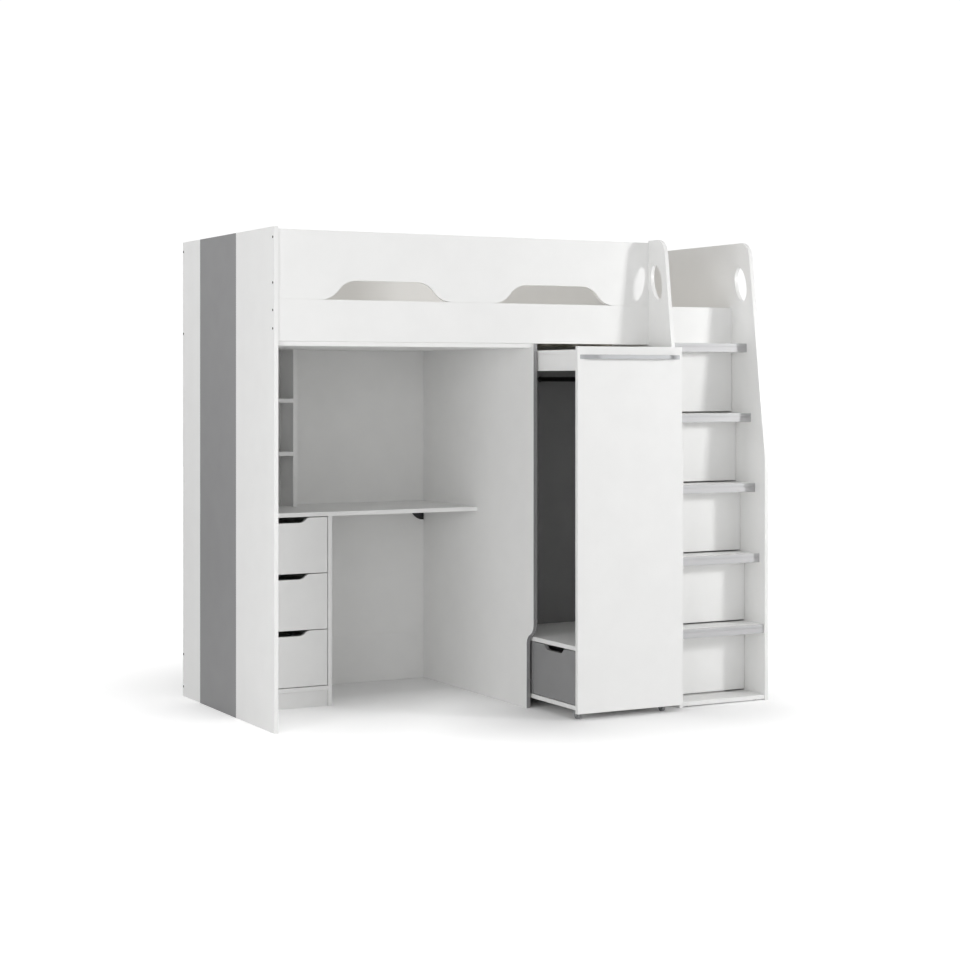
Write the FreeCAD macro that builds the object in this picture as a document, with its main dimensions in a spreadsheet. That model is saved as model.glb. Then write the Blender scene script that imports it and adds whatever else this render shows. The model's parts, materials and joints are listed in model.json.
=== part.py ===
import FreeCAD, Part
import math
import os
import Sketcher

# High sleeper bed: a raised single bed over a desk bay, a pull-out wardrobe and a block stair.
# Places are worked out in bed coordinates: X runs from the inner face of the left end to the
# right, Y from the front edge of the left end to the back, Z up from the floor. The wardrobe
# stands part of the way out, as in its usual open position; every drawer is shut.

doc = FreeCAD.newDocument("HighSleeperBed")
sheet = doc.addObject("Spreadsheet::Sheet", "Sizes")

# Driving dimensions in millimetres, with angles in degrees: alias, value, meaning
DIMENSIONS = (
    ("mattress_length", 1900, "standard single mattress"),
    ("mattress_width", 900, "standard single mattress"),
    ("mattress_end_play", 24, "spare length between the two ends"),
    ("mattress_side_play", 5, "spare width between front and back"),
    ("board", 16, "thickness of every faced board"),
    ("front_setback", 5, "front rail and guard behind the edge of the left end"),
    ("rail_underside", 1368, "floor to underside of the bed rails"),
    ("rail_height", 148, "bed rails"),
    ("guard_height", 244, "guards above the rails"),
    ("end_lip", 8, "ends stand above the guards"),
    ("front_board_width", 369, "front board of the left end"),
    ("stripe_board_width", 379, "coloured middle board of the left end"),
    ("wardrobe_bay_width", 492, "clear width between partition and stair side"),
    ("stair_width", 376, "clear width between the two stair sides"),
    ("stair_reach", 212, "foot of the stair in front of the left end's edge"),
    ("stair_head_reach", 102, "head of the stair sides in front of that edge"),
    ("slant_start", 935, "height at which the stair sides start to lean back"),
    ("stair_corner_radius", 60, "rounded top front corner of the stair sides"),
    ("grip_half_height", 69, "grip hole in the stair sides"),
    ("grip_half_width", 36, "grip hole in the stair sides"),
    ("grip_drop", 162, "grip hole's centre below the top"),
    ("grip_margin", 71, "grip hole's centre behind the slanted edge"),
    ("grip_lean", 15.5, "angle of the grip hole from upright"),
    ("tread_thickness", 34, "stair treads"),
    ("tread_rise", 270.6, "from one tread to the next"),
    ("top_tread_lift", 6, "top tread above the underside of the rails"),
    ("top_tread_reach", 93, "front of the top tread"),
    ("tread_shift", 27.75, "each tread stands further out than the one above"),
    ("nosing_thickness", 3, "metal nosing on a tread's front"),
    ("nosing_groove_drop", 12, "groove in the nosing, below its top"),
    ("nosing_groove_width", 2.6, "groove in the nosing"),
    ("nosing_groove_depth", 1.8, "groove in the nosing"),
    ("riser_slit", 6, "open line between a riser and the tread below"),
    ("riser_side_play", 1, "risers end short of the stair sides"),
    ("base_board_setback", 3, "stair base board behind the foot of the stair sides"),
    ("base_board_lift", 5, "stair base board above the floor"),
    ("glide_radius", 12, "glides under the stair base board"),
    ("glide_inset", 30, "glides from the edges of that board"),
    ("hump_height", 69, "openings in the lower edge of the front guard"),
    ("hump_side_width", 138, "length of each curved side of such an opening"),
    ("hump_start", 163, "first opening from the left end"),
    ("hump_gap", 176, "guard left between two openings"),
    ("hump_end", 174, "last opening from the stair's clear width"),
    ("foot_recess", 52, "lower front of the desk partition set back"),
    ("foot_recess_height", 240, "start of the curve above that set-back"),
    ("foot_recess_curve", 78, "height of that curve"),
    ("desk_height", 734, "floor to desk surface"),
    ("desk_depth", 474, "front to back of the desk"),
    ("low_rail_height", 194, "low rail at the back of the desk bay"),
    ("cable_notch_radius", 64, "rounded cable notch under the desk's back corner"),
    ("cable_cover", 4, "thickness of the dark cover behind that notch"),
    ("ceiling_setback", 10, "ceiling board behind the front rail's face"),
    ("shelf_unit_depth", 134, "shelves over the desk"),
    ("shelf_width", 386, "clear width of the shelves"),
    ("first_shelf_height", 216, "desk surface to top of the first shelf"),
    ("shelf_pitch", 209, "first shelf to second"),
    ("plinth_height", 62, "plinth of the drawer pedestal"),
    ("plinth_setback", 8, "plinth behind the drawer fronts"),
    ("front_play", 3, "gap around a drawer front"),
    ("pull_notch_width", 230, "finger notch in a pedestal drawer front"),
    ("pull_notch_side", 46, "curved side of that notch"),
    ("pull_notch_depth", 19, "finger notch in a pedestal drawer front"),
    ("small_notch_width", 162, "finger notch in the wardrobe drawer front"),
    ("small_notch_side", 34, "curved side of that notch"),
    ("small_notch_depth", 18, "finger notch in the wardrobe drawer front"),
    ("drawer_side", 12, "thickness of drawer box sides"),
    ("drawer_base", 4, "thickness of drawer bases"),
    ("base_groove", 10, "drawer base above the lower edge of the sides"),
    ("box_lift", 14, "drawer box above the lower edge of its front"),
    ("box_height", 140, "pedestal drawer boxes"),
    ("box_length", 430, "pedestal drawer boxes, front to back"),
    ("small_box_height", 124, "wardrobe drawer box"),
    ("small_box_length", 400, "wardrobe drawer box, front to back"),
    ("runner_thickness", 6.2, "each of the two members of a drawer runner"),
    ("runner_play", 0.3, "between the two members"),
    ("runner_height", 32, "drawer runners"),
    ("runner_lift", 30, "runner above the lower edge of the drawer box"),
    ("pull_out", 280, "how far the wardrobe stands out"),
    ("wardrobe_depth", 670, "wardrobe from door front to back"),
    ("wardrobe_left_play", 8, "wardrobe to desk partition"),
    ("wardrobe_right_play", 31, "wardrobe to stair side"),
    ("door_floor_gap", 24, "wardrobe door above the floor"),
    ("door_head_gap", 14, "wardrobe door below the rails"),
    ("door_cover", 12, "wardrobe door above its top board"),
    ("top_rail_height", 60, "side rail under the wardrobe's top board"),
    ("deck_height", 268, "floor to the wardrobe's inner deck"),
    ("drawer_bay_depth", 307, "wardrobe drawer bay behind the door"),
    ("hang_drop", 91, "hanging rail below the top board"),
    ("hang_radius", 9.5, "hanging rail"),
    ("socket_radius", 11, "hanging rail sockets"),
    ("socket_length", 10, "hanging rail sockets"),
    ("wheel_radius", 15, "castor wheels"),
    ("wheel_width", 14, "castor wheels"),
    ("wheel_head_play", 5, "castor wheel to mounting plate"),
    ("wheel_side_play", 0.5, "castor wheel to each cheek"),
    ("axle_radius", 3, "castor axles"),
    ("axle_play", 0.05, "axle to wheel bore"),
    ("cheek_thickness", 2, "castor forks and plates"),
    ("cheek_width", 12, "castor fork cheeks, front to back"),
    ("cheek_reach", 6, "castor fork cheeks below the axle's centre"),
    ("plate_length", 40, "castor mounting plates"),
    ("castor_left_inset", 24, "left castors from the wardrobe's side"),
    ("castor_right_inset", 65, "right castors from the wardrobe's side"),
    ("castor_front_inset", 24, "front castors behind the door"),
    ("castor_back_inset", 50, "rear castors before the wardrobe's back"),
    ("guide_height", 40, "wardrobe guide strips"),
    ("guide_play", 0.3, "guide strips to the wardrobe"),
    ("guide_setback", 70, "guide strips behind the front rail's face"),
    ("handle_span", 432, "bow handle across the door"),
    ("handle_rise", 30, "bow handle in front of the door"),
    ("handle_bar", 5, "thickness of the handle's bar"),
    ("handle_foot", 14, "width of each handle foot on the door"),
    ("handle_curve", 78, "length of each curved end of the handle"),
    ("handle_height", 16, "handle's bar, top to bottom"),
    ("handle_drop", 30, "top of the handle below the door's top"),
    ("batten", 25, "battens that carry the slats"),
    ("batten_lift", 7, "battens above the underside of the rails"),
    ("slat_width", 122, "mattress slats"),
    ("slat_thickness", 14, "mattress slats"),
    ("slat_end_play", 2, "slats to the rails"),
    ("slat_margin", 52, "first slat from the left end"),
    ("screw_head_radius", 4.5, "dark screw heads on the end panels"),
    ("screw_head_height", 1.2, "dark screw heads on the end panels"),
    ("screw_radius", 2.5, "screw shanks"),
    ("screw_length", 45, "screw shanks"),
    ("rail_screw_low", 44, "lower rail screws above the rail's underside"),
    ("rail_screw_high", 108, "upper rail screws above the rail's underside"),
    ("guard_screw_low", 56, "lower guard screws above the rail"),
    ("guard_screw_high", 215, "upper guard screws above the rail"),
    ("low_screw_height", 38, "lowest back screws above the floor"),
    ("low_screw_pitch", 126, "lowest back screw to the next"),
    ("overrun", 10, "cutting shapes run past what they cut"),
)
HUMP_COUNT = 2
SLAT_COUNT = 13
TREAD_COUNT = 5
DRAWER_COUNT = 3
SHELF_COUNT = 2


class Size:
    """A length: its value in millimetres and the expression in sheet names that gives it."""

    def __init__(self, value, text):
        self.value = value
        self.text = text

    def __add__(self, other):
        other = as_size(other)
        return Size(self.value + other.value, f"({self.text} + {other.text})")

    def __sub__(self, other):
        other = as_size(other)
        return Size(self.value - other.value, f"({self.text} - {other.text})")

    def __mul__(self, other):
        other = as_size(other)
        return Size(self.value * other.value, f"({self.text} * {other.text})")

    def __truediv__(self, other):
        other = as_size(other)
        return Size(self.value / other.value, f"({self.text} / {other.text})")

    def __neg__(self):
        return Size(-self.value, f"(0 - {self.text})")

    def __rmul__(self, other):
        return as_size(other) * self


def as_size(number):
    """The number itself if it is a Size, else a Size that holds a plain count or share."""
    if isinstance(number, Size):
        return number
    return Size(float(number), f"{number}")


class Sizes:
    """Every alias of the sheet as a Size of the same name."""


size = Sizes()
for row, (alias, number, meaning) in enumerate(DIMENSIONS, start=1):
    sheet.set(f"A{row}", alias)
    sheet.set(f"B{row}", str(number))
    sheet.set(f"C{row}", meaning)
    sheet.setAlias(f"B{row}", alias)
    setattr(size, alias, Size(float(number), f"Sizes.{alias}"))
doc.recompute()

ZERO = Size(0.0, "0")
nodes = []

# Derived places in bed coordinates
inner_length = size.mattress_length + size.mattress_end_play
inner_width = size.mattress_width + size.mattress_side_play
rail_face = size.front_setback
rail_back = rail_face + size.board
back_face = rail_back + inner_width
end_depth = back_face + size.board
rail_top = size.rail_underside + size.rail_height
guard_top = rail_top + size.guard_height
end_height = guard_top + size.end_lip
stair_left = inner_length - size.stair_width
stair_side_left = stair_left - size.board
bay_left = stair_side_left - size.wardrobe_bay_width
partition_left = bay_left - size.board
partition_middle = partition_left + size.board / 2
stair_side_middle = stair_side_left + size.board / 2
ceiling_underside = size.rail_underside - size.board
desk_underside = size.desk_height - size.board

door_face = rail_face - size.pull_out
door_back = door_face + size.board
wardrobe_left = bay_left + size.wardrobe_left_play
wardrobe_right = stair_side_left - size.wardrobe_right_play
wardrobe_back = door_face + size.wardrobe_depth
door_top = size.rail_underside - size.door_head_gap
wardrobe_top = door_top - size.door_cover
top_board_underside = wardrobe_top - size.board
castor_height = size.wheel_radius * 2 + size.wheel_head_play + size.cheek_thickness
wardrobe_base_top = castor_height + size.board
inner_side_left = wardrobe_right - size.board
divider_face = door_back + size.drawer_bay_depth

handle_front = door_face - size.handle_rise
origin_x = inner_length / 2
origin_y = (end_depth + handle_front) / 2


def bind(thing, prop, length):
    """Ties one property of an object to the sheet."""
    thing.setExpression(prop, length.text)


def place(thing, x, y, z):
    """Ties an object's base point to a place given in bed coordinates."""
    bind(thing, "Placement.Base.x", x - origin_x)
    bind(thing, "Placement.Base.y", y - origin_y)
    bind(thing, "Placement.Base.z", z)


def keep(thing, label):
    """Names a finished sub-part and lists it for the files."""
    thing.Label = label
    nodes.append(thing)
    return thing


def block(name, x, y, z, length, depth, height):
    """A square-edged board with its lower left front corner at x, y, z."""
    box = doc.addObject("Part::Box", name)
    bind(box, "Length", length)
    bind(box, "Width", depth)
    bind(box, "Height", height)
    place(box, x, y, z)
    return box


def span_block(name, x_span, y_span, z_span):
    """A square-edged board between two faces along each direction."""
    x, y, z = x_span[0], y_span[0], z_span[0]
    return block(name, x, y, z, x_span[1] - x, y_span[1] - y, z_span[1] - z)


AXIS_TURNS = {
    "x": FreeCAD.Rotation(FreeCAD.Vector(0, 1, 0), 90),
    "y": FreeCAD.Rotation(FreeCAD.Vector(1, 0, 0), -90),
    "z": FreeCAD.Rotation(),
}


def rod(name, axis, x, y, z, radius, length):
    """A round bar that starts at x, y, z and runs along one axis."""
    bar = doc.addObject("Part::Cylinder", name)
    bar.Placement = FreeCAD.Placement(FreeCAD.Vector(), AXIS_TURNS[axis])
    bind(bar, "Radius", radius)
    bind(bar, "Height", length)
    place(bar, x, y, z)
    return bar


def group(label, members):
    """Separate solids of one kind that share a node."""
    together = doc.addObject("Part::Compound", label)
    together.Links = members
    return keep(together, label)


def fused(name, members):
    """One solid from several."""
    whole = doc.addObject("Part::MultiFuse", name)
    whole.Shapes = members
    return whole


def cut(name, base, tool):
    """One solid with another taken out of it."""
    rest = doc.addObject("Part::Cut", name)
    rest.Base = base
    rest.Tool = tool
    return rest


def ogee_radius(along, across):
    """Radius of the two equal arcs of an S-curve that starts and ends along one direction."""
    return (along * along + across * across) / (across * 4)


def ogee(start, end, tangent, first_turn):
    """Two outline steps for an S-curve: tangent 'u' or 'v', and the first arc's sense (1 or -1)."""
    run = end[0] - start[0]
    rise = end[1] - start[1]
    along, across = (run, rise) if tangent == "u" else (rise, run)
    radius = ogee_radius(along, across)
    if radius.value < 0:
        radius = -radius
    middle = ((start[0] + end[0]) / 2, (start[1] + end[1]) / 2)
    return [(middle, radius, first_turn), (end, radius, -first_turn)]


def line_to(u, v):
    """An outline step in a straight line."""
    return ((u, v), None, 0)


def arc_geometry(start, end, radius, turn):
    """The arc from start to end, shorter way round, counter-clockwise if turn is 1."""
    chord = end - start
    middle = (start + end) / 2
    height = math.sqrt(max(radius**2 - (chord.Length / 2) ** 2, 0))
    side = FreeCAD.Vector(-chord.y, chord.x, 0).normalize() * turn
    centre = middle + side * height
    first, last = (start, end) if turn > 0 else (end, start)
    angles = [math.atan2(p.y - centre.y, p.x - centre.x) for p in (first, last)]
    circle = Part.Circle(centre, FreeCAD.Vector(0, 0, 1), radius)
    return Part.ArcOfCircle(circle, angles[0], angles[1])


def outline_sketch(body, plane_role, start, steps):
    """A closed sketch on one of the body's own planes, each corner tied to the sheet."""
    sketch = body.newObject("Sketcher::SketchObject", body.Name + "_outline")
    plane = next(f for f in body.Origin.OriginFeatures if f.Role == plane_role)
    sketch.AttachmentSupport = [(plane, "")]
    sketch.MapMode = "FlatFace"
    corners = [start] + [step[0] for step in steps[:-1]]
    ends = [step[0] for step in steps[:-1]] + [start]
    count = len(steps)
    first_pos = []
    last_pos = []
    for corner, end, (_, radius, turn) in zip(corners, ends, steps):
        here = FreeCAD.Vector(corner[0].value, corner[1].value, 0)
        there = FreeCAD.Vector(end[0].value, end[1].value, 0)
        if radius is None:
            sketch.addGeometry(Part.LineSegment(here, there))
            first_pos.append(1)
            last_pos.append(2)
        else:
            sketch.addGeometry(arc_geometry(here, there, radius.value, turn))
            first_pos.append(1 if turn > 0 else 2)
            last_pos.append(2 if turn > 0 else 1)
    for edge in range(count):
        after = (edge + 1) % count
        sketch.addConstraint(
            Sketcher.Constraint("Coincident", edge, last_pos[edge], after, first_pos[after])
        )
    for edge, corner in enumerate(corners):
        for kind, length in (("DistanceX", corner[0]), ("DistanceY", corner[1])):
            constraint = Sketcher.Constraint(kind, -1, 1, edge, first_pos[edge], length.value)
            index = sketch.addConstraint(constraint)
            if length is not ZERO:
                sketch.setExpression(f"Constraints[{index}]", length.text)
    for edge, (_, radius, turn) in enumerate(steps):
        if radius is not None:
            index = sketch.addConstraint(Sketcher.Constraint("Radius", edge, radius.value))
            sketch.setExpression(f"Constraints[{index}]", radius.text)
    return sketch


def shaped_board(name, plane_role, base, start, steps, thickness):
    """A board cut to an outline on the XY, XZ or YZ plane, its thickness towards plus."""
    body = doc.addObject("PartDesign::Body", name)
    sketch = outline_sketch(body, plane_role, start, steps)
    pad = body.newObject("PartDesign::Pad", name + "_pad")
    pad.Profile = sketch
    bind(pad, "Length", thickness)
    pad.Reversed = plane_role == "XZ_Plane"
    body.Tip = pad
    place(body, *base)
    return body


def round_edge(body, name, radius, near):
    """Rounds the one edge of a body whose middle is nearest to a point in its own frame."""
    doc.recompute()
    tip = body.Tip
    gaps = [(edge.CenterOfMass - near).Length for edge in tip.Shape.Edges]
    number = gaps.index(min(gaps)) + 1
    fillet = body.newObject("PartDesign::Fillet", name)
    fillet.Base = (tip, [f"Edge{number}"])
    bind(fillet, "Radius", radius)
    body.Tip = fillet
    return body


# Left end: three boards side by side, the middle one coloured
def left_end():
    across = (-size.board, ZERO)
    stripe_end = size.front_board_width + size.stripe_board_width
    for label, start, end in (
        ("left_end_front_board", ZERO, size.front_board_width),
        ("left_end_stripe_board", size.front_board_width, stripe_end),
        ("left_end_back_board", stripe_end, end_depth),
    ):
        keep(span_block(label, across, (start, end), (ZERO, end_height)), label)


# Stair sides: the right end and the inner side share the leaning front edge and the grip hole
stair_foot = -size.stair_reach
slant_run = size.stair_reach - size.stair_head_reach
slant_rise = end_height - size.slant_start


def grip_tool(name, x):
    """A leaning oval bar through a stair side."""
    below_top = slant_run * (size.grip_drop / slant_rise)
    edge_y = -(size.stair_head_reach + below_top)
    oval = doc.addObject("Part::Ellipse", name + "_oval")
    turn = FreeCAD.Rotation(FreeCAD.Vector(0, 1, 0), 90)
    lean = FreeCAD.Rotation(FreeCAD.Vector(1, 0, 0), -size.grip_lean.value)
    oval.Placement = FreeCAD.Placement(FreeCAD.Vector(), lean.multiply(turn))
    bind(oval, "MajorRadius", size.grip_half_height)
    bind(oval, "MinorRadius", size.grip_half_width)
    place(oval, x - size.overrun, edge_y + size.grip_margin, end_height - size.grip_drop)
    bar = doc.addObject("Part::Extrusion", name)
    bar.Base = oval
    bar.DirMode = "Custom"
    bar.Dir = FreeCAD.Vector(1, 0, 0)
    bar.Solid = True
    bind(bar, "LengthFwd", size.board + size.overrun * 2)
    return bar


def stair_side(label, x, rear_steps):
    """A board from the stair's foot to its head, with whatever outline it has behind."""
    blank = shaped_board(
        label + "_blank",
        "YZ_Plane",
        (x, stair_foot, ZERO),
        (ZERO, ZERO),
        rear_steps
        + [
            line_to(slant_run, end_height),
            line_to(ZERO, size.slant_start),
            line_to(ZERO, ZERO),
        ],
        size.board,
    )
    corner = FreeCAD.Vector(size.board.value / 2, slant_run.value, end_height.value)
    round_edge(blank, label + "_corner", size.stair_corner_radius, corner)
    keep(cut(label, blank, grip_tool(label + "_grip", x)), label)


def stair_sides():
    depth = end_depth + size.stair_reach
    stair_side("right_end_panel", inner_length, [line_to(depth, ZERO), line_to(depth, end_height)])
    lower_depth = back_face + size.stair_reach
    upper_depth = rail_face + size.stair_reach
    stair_side(
        "stair_inner_side",
        stair_side_left,
        [
            line_to(lower_depth, ZERO),
            line_to(lower_depth, size.rail_underside),
            line_to(upper_depth, size.rail_underside),
            line_to(upper_depth, end_height),
        ],
    )


# Bed box: rails and guards, the front guard with two long openings in its lower edge
def hump(left, right):
    """Outline steps of one opening, from its left end to its right end."""
    side = size.hump_side_width
    outer_right = (right, ZERO)
    inner_right = (right - side, size.hump_height)
    inner_left = (left + side, size.hump_height)
    outer_left = (left, ZERO)
    return (
        [line_to(*outer_left)]
        + ogee(outer_left, inner_left, "u", 1)
        + [line_to(*inner_right)]
        + ogee(inner_right, outer_right, "u", -1)
    )


def bed_box():
    guard_length = stair_left
    open_length = guard_length - size.hump_start - size.hump_end
    hump_width = (open_length - size.hump_gap * (HUMP_COUNT - 1)) / HUMP_COUNT
    steps = []
    for number in range(HUMP_COUNT):
        left = size.hump_start + (hump_width + size.hump_gap) * number
        steps += hump(left, left + hump_width)
    steps += [
        line_to(guard_length, ZERO),
        line_to(guard_length, size.guard_height),
        line_to(ZERO, size.guard_height),
        line_to(ZERO, ZERO),
    ]
    base = (ZERO, rail_face, rail_top)
    guard = shaped_board("front_guard", "XZ_Plane", base, (ZERO, ZERO), steps, size.board)
    keep(guard, "front_guard")
    whole = (ZERO, inner_length)
    front = (rail_face, rail_back)
    back = (back_face, end_depth)
    for label, across, low, high in (
        ("front_rail", front, size.rail_underside, rail_top),
        ("back_rail", back, size.rail_underside, rail_top),
        ("back_guard", back, rail_top, guard_top),
    ):
        keep(span_block(label, whole, across, (low, high)), label)


def mattress_base():
    batten_low = size.rail_underside + size.batten_lift
    slat_low = batten_low + size.batten
    battens = [
        block(name, ZERO, y, batten_low, inner_length, size.batten, size.batten)
        for name, y in (("front_batten", rail_back), ("back_batten", back_face - size.batten))
    ]
    group("slat_battens", battens)
    free_length = inner_length - size.slat_margin * 2 - size.slat_width
    slats = []
    for number in range(SLAT_COUNT):
        x = size.slat_margin + free_length * number / (SLAT_COUNT - 1)
        y = rail_back + size.slat_end_play
        length = inner_width - size.slat_end_play * 2
        name = f"slat_{number + 1}"
        slats.append(block(name, x, y, slat_low, size.slat_width, length, size.slat_thickness))
    group("mattress_slats", slats)


# Desk bay: partition, ceiling, back panels, desk, shelves and drawer pedestal
def desk_partition():
    base = (partition_left, rail_face, ZERO)
    depth = back_face - rail_face
    recess = size.foot_recess
    curve_top = size.foot_recess_height + size.foot_recess_curve
    low_point = (recess, size.foot_recess_height)
    high_point = (ZERO, curve_top)
    steps = [
        line_to(depth, ZERO),
        line_to(depth, size.rail_underside),
        line_to(ZERO, size.rail_underside),
        line_to(*high_point),
    ]
    steps += ogee(high_point, low_point, "v", 1)
    steps += [line_to(recess, ZERO)]
    start = (recess, ZERO)
    board = shaped_board("desk_partition", "YZ_Plane", base, start, steps, size.board)
    keep(board, "desk_partition")


def back_panels():
    across = (back_face, end_depth)
    desk_bay = (ZERO, partition_middle)
    for label, x_span, z_span in (
        ("low_back_rail", desk_bay, (ZERO, size.low_rail_height)),
        ("upper_back_panel", desk_bay, (desk_underside, size.rail_underside)),
        (
            "wardrobe_bay_back_panel",
            (partition_middle, stair_side_middle),
            (ZERO, size.rail_underside),
        ),
        ("stair_back_panel", (stair_side_middle, inner_length), (ZERO, size.rail_underside)),
    ):
        keep(span_block(label, x_span, across, z_span), label)
    height = desk_underside - size.low_rail_height
    radius = size.cable_notch_radius
    notch_left = partition_left - radius
    base = (ZERO, back_face, size.low_rail_height)
    steps = [
        line_to(partition_middle, ZERO),
        line_to(partition_middle, height - radius),
        line_to(partition_left, height - radius),
        ((notch_left, height), radius, -1),
        line_to(ZERO, height),
        line_to(ZERO, ZERO),
    ]
    panel = shaped_board("mid_back_panel", "XZ_Plane", base, (ZERO, ZERO), steps, size.board)
    keep(panel, "mid_back_panel")
    cover_base = (ZERO, end_depth - size.cable_cover, size.low_rail_height)
    notch_low = (partition_left, height - radius)
    cover_steps = [
        line_to(partition_middle, height - radius),
        line_to(partition_middle, height),
        line_to(notch_left, height),
        (notch_low, radius, 1),
    ]
    cover = shaped_board(
        "cable_cover", "XZ_Plane", cover_base, notch_low, cover_steps, size.cable_cover
    )
    keep(cover, "cable_cover")


def desk_and_shelves():
    bay = (ZERO, partition_left)
    inside = (rail_face + size.ceiling_setback, back_face)
    ceiling = (ceiling_underside, size.rail_underside)
    keep(span_block("ceiling_board", bay, inside, ceiling), "ceiling_board")
    desk_deep = (back_face - size.desk_depth, back_face)
    desk_thick = (desk_underside, size.desk_height)
    keep(span_block("desk_top", bay, desk_deep, desk_thick), "desk_top")
    shelf_deep = (back_face - size.shelf_unit_depth, back_face)
    upright = (size.shelf_width, size.shelf_width + size.board)
    tall = (size.desk_height, ceiling_underside)
    keep(span_block("shelf_upright", upright, shelf_deep, tall), "shelf_upright")
    shelves = []
    for number in range(SHELF_COUNT):
        top = size.desk_height + size.first_shelf_height + size.shelf_pitch * number
        thick = (top - size.board, top)
        name = f"shelf_{number + 1}"
        shelves.append(span_block(name, (ZERO, size.shelf_width), shelf_deep, thick))
    group("shelf_boards", shelves)


pedestal_face = back_face - size.desk_depth
pedestal_left = size.board
pedestal_right = size.shelf_width
pedestal_floor = size.plinth_height + size.board
stack_height = desk_underside - pedestal_floor - size.front_play
front_pitch = stack_height / DRAWER_COUNT


def pedestal():
    deep = (pedestal_face, back_face)
    outer_right = pedestal_right + size.board
    inside = (pedestal_left, pedestal_right)
    sides = [
        span_block(name, x_span, deep, (ZERO, desk_underside))
        for name, x_span in (
            ("left_side", (ZERO, pedestal_left)),
            ("right_side", (pedestal_right, outer_right)),
        )
    ]
    group("pedestal_sides", sides)
    floor = (size.plinth_height, pedestal_floor)
    keep(span_block("pedestal_bottom", inside, deep, floor), "pedestal_bottom")
    plinth_face = pedestal_face + size.plinth_setback
    plinth_deep = (plinth_face, plinth_face + size.board)
    plinth_tall = (ZERO, size.plinth_height)
    keep(span_block("pedestal_plinth", inside, plinth_deep, plinth_tall), "pedestal_plinth")


def notch_steps(width, height, notch_width, notch_side, notch_depth):
    """Outline steps of a drawer front with a finger notch in the middle of its top edge."""
    left = (width - notch_width) / 2
    right = left + notch_width
    low = height - notch_depth
    outer_right = (right, height)
    inner_right = (right - notch_side, low)
    inner_left = (left + notch_side, low)
    outer_left = (left, height)
    return (
        [line_to(width, ZERO), line_to(width, height), line_to(*outer_right)]
        + ogee(outer_right, inner_right, "u", 1)
        + [line_to(*inner_left)]
        + ogee(inner_left, outer_left, "u", -1)
        + [line_to(ZERO, height), line_to(ZERO, ZERO)]
    )


def desk_drawers():
    """Each drawer: a front, a box of four boards and its two sliding runner members."""
    fixed = []
    runner_gap = size.runner_thickness * 2 + size.runner_play
    front_width = pedestal_right - pedestal_left - size.front_play * 2
    front_height = front_pitch - size.front_play
    box_left = pedestal_left + runner_gap
    box_right = pedestal_right - runner_gap
    box_front = pedestal_face + size.board
    box_back = box_front + size.box_length
    deep = (box_front, box_back)
    for number in range(DRAWER_COUNT):
        name = f"desk_drawer_{number + 1}"
        low = pedestal_floor + size.front_play + front_pitch * (DRAWER_COUNT - 1 - number)
        steps = notch_steps(
            front_width,
            front_height,
            size.pull_notch_width,
            size.pull_notch_side,
            size.pull_notch_depth,
        )
        base = (pedestal_left + size.front_play, pedestal_face, low)
        front = shaped_board(
            name + "_front", "XZ_Plane", base, (ZERO, ZERO), steps, size.board
        )
        keep(front, name + "_front")
        box_low = low + size.box_lift
        box_tall = (box_low, box_low + size.box_height)
        between = (box_left + size.drawer_side, box_right - size.drawer_side)
        base_low = box_low + size.base_groove
        back_span = (box_back - size.drawer_side, box_back)
        base_deep = (box_front, box_back - size.drawer_side)
        base_thick = (base_low, base_low + size.drawer_base)
        boards = [
            span_block(name + "_left", (box_left, between[0]), deep, box_tall),
            span_block(name + "_right", (between[1], box_right), deep, box_tall),
            span_block(name + "_back", between, back_span, box_tall),
            span_block(name + "_base", between, base_deep, base_thick),
        ]
        group(name + "_box", boards)
        runner_low = box_low + size.runner_lift
        runner_tall = (runner_low, runner_low + size.runner_height)
        inner = size.runner_thickness
        moving = [
            span_block(name + "_slider_left", (box_left - inner, box_left), deep, runner_tall),
            span_block(name + "_slider_right", (box_right, box_right + inner), deep, runner_tall),
        ]
        group(name + "_runners", moving)
        left_span = (pedestal_left, pedestal_left + inner)
        right_span = (pedestal_right - inner, pedestal_right)
        fixed.append(span_block(name + "_rail_left", left_span, deep, runner_tall))
        fixed.append(span_block(name + "_rail_right", right_span, deep, runner_tall))
    group("pedestal_runners", fixed)


# Stair: treads with nosings, risers set back under them, and a base board on glides
def tread_top(number):
    """Height of a tread's top, counted down from the top tread, which is number 0."""
    return size.rail_underside + size.top_tread_lift - size.tread_rise * number


def tread_front(number):
    """Front of a tread's nosing."""
    return -(size.top_tread_reach + size.tread_shift * number)


def riser_face(number):
    """Front face of the riser under a tread; the lowest stands under the one above it."""
    return rail_face - size.tread_shift * min(number, TREAD_COUNT - 2)


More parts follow.
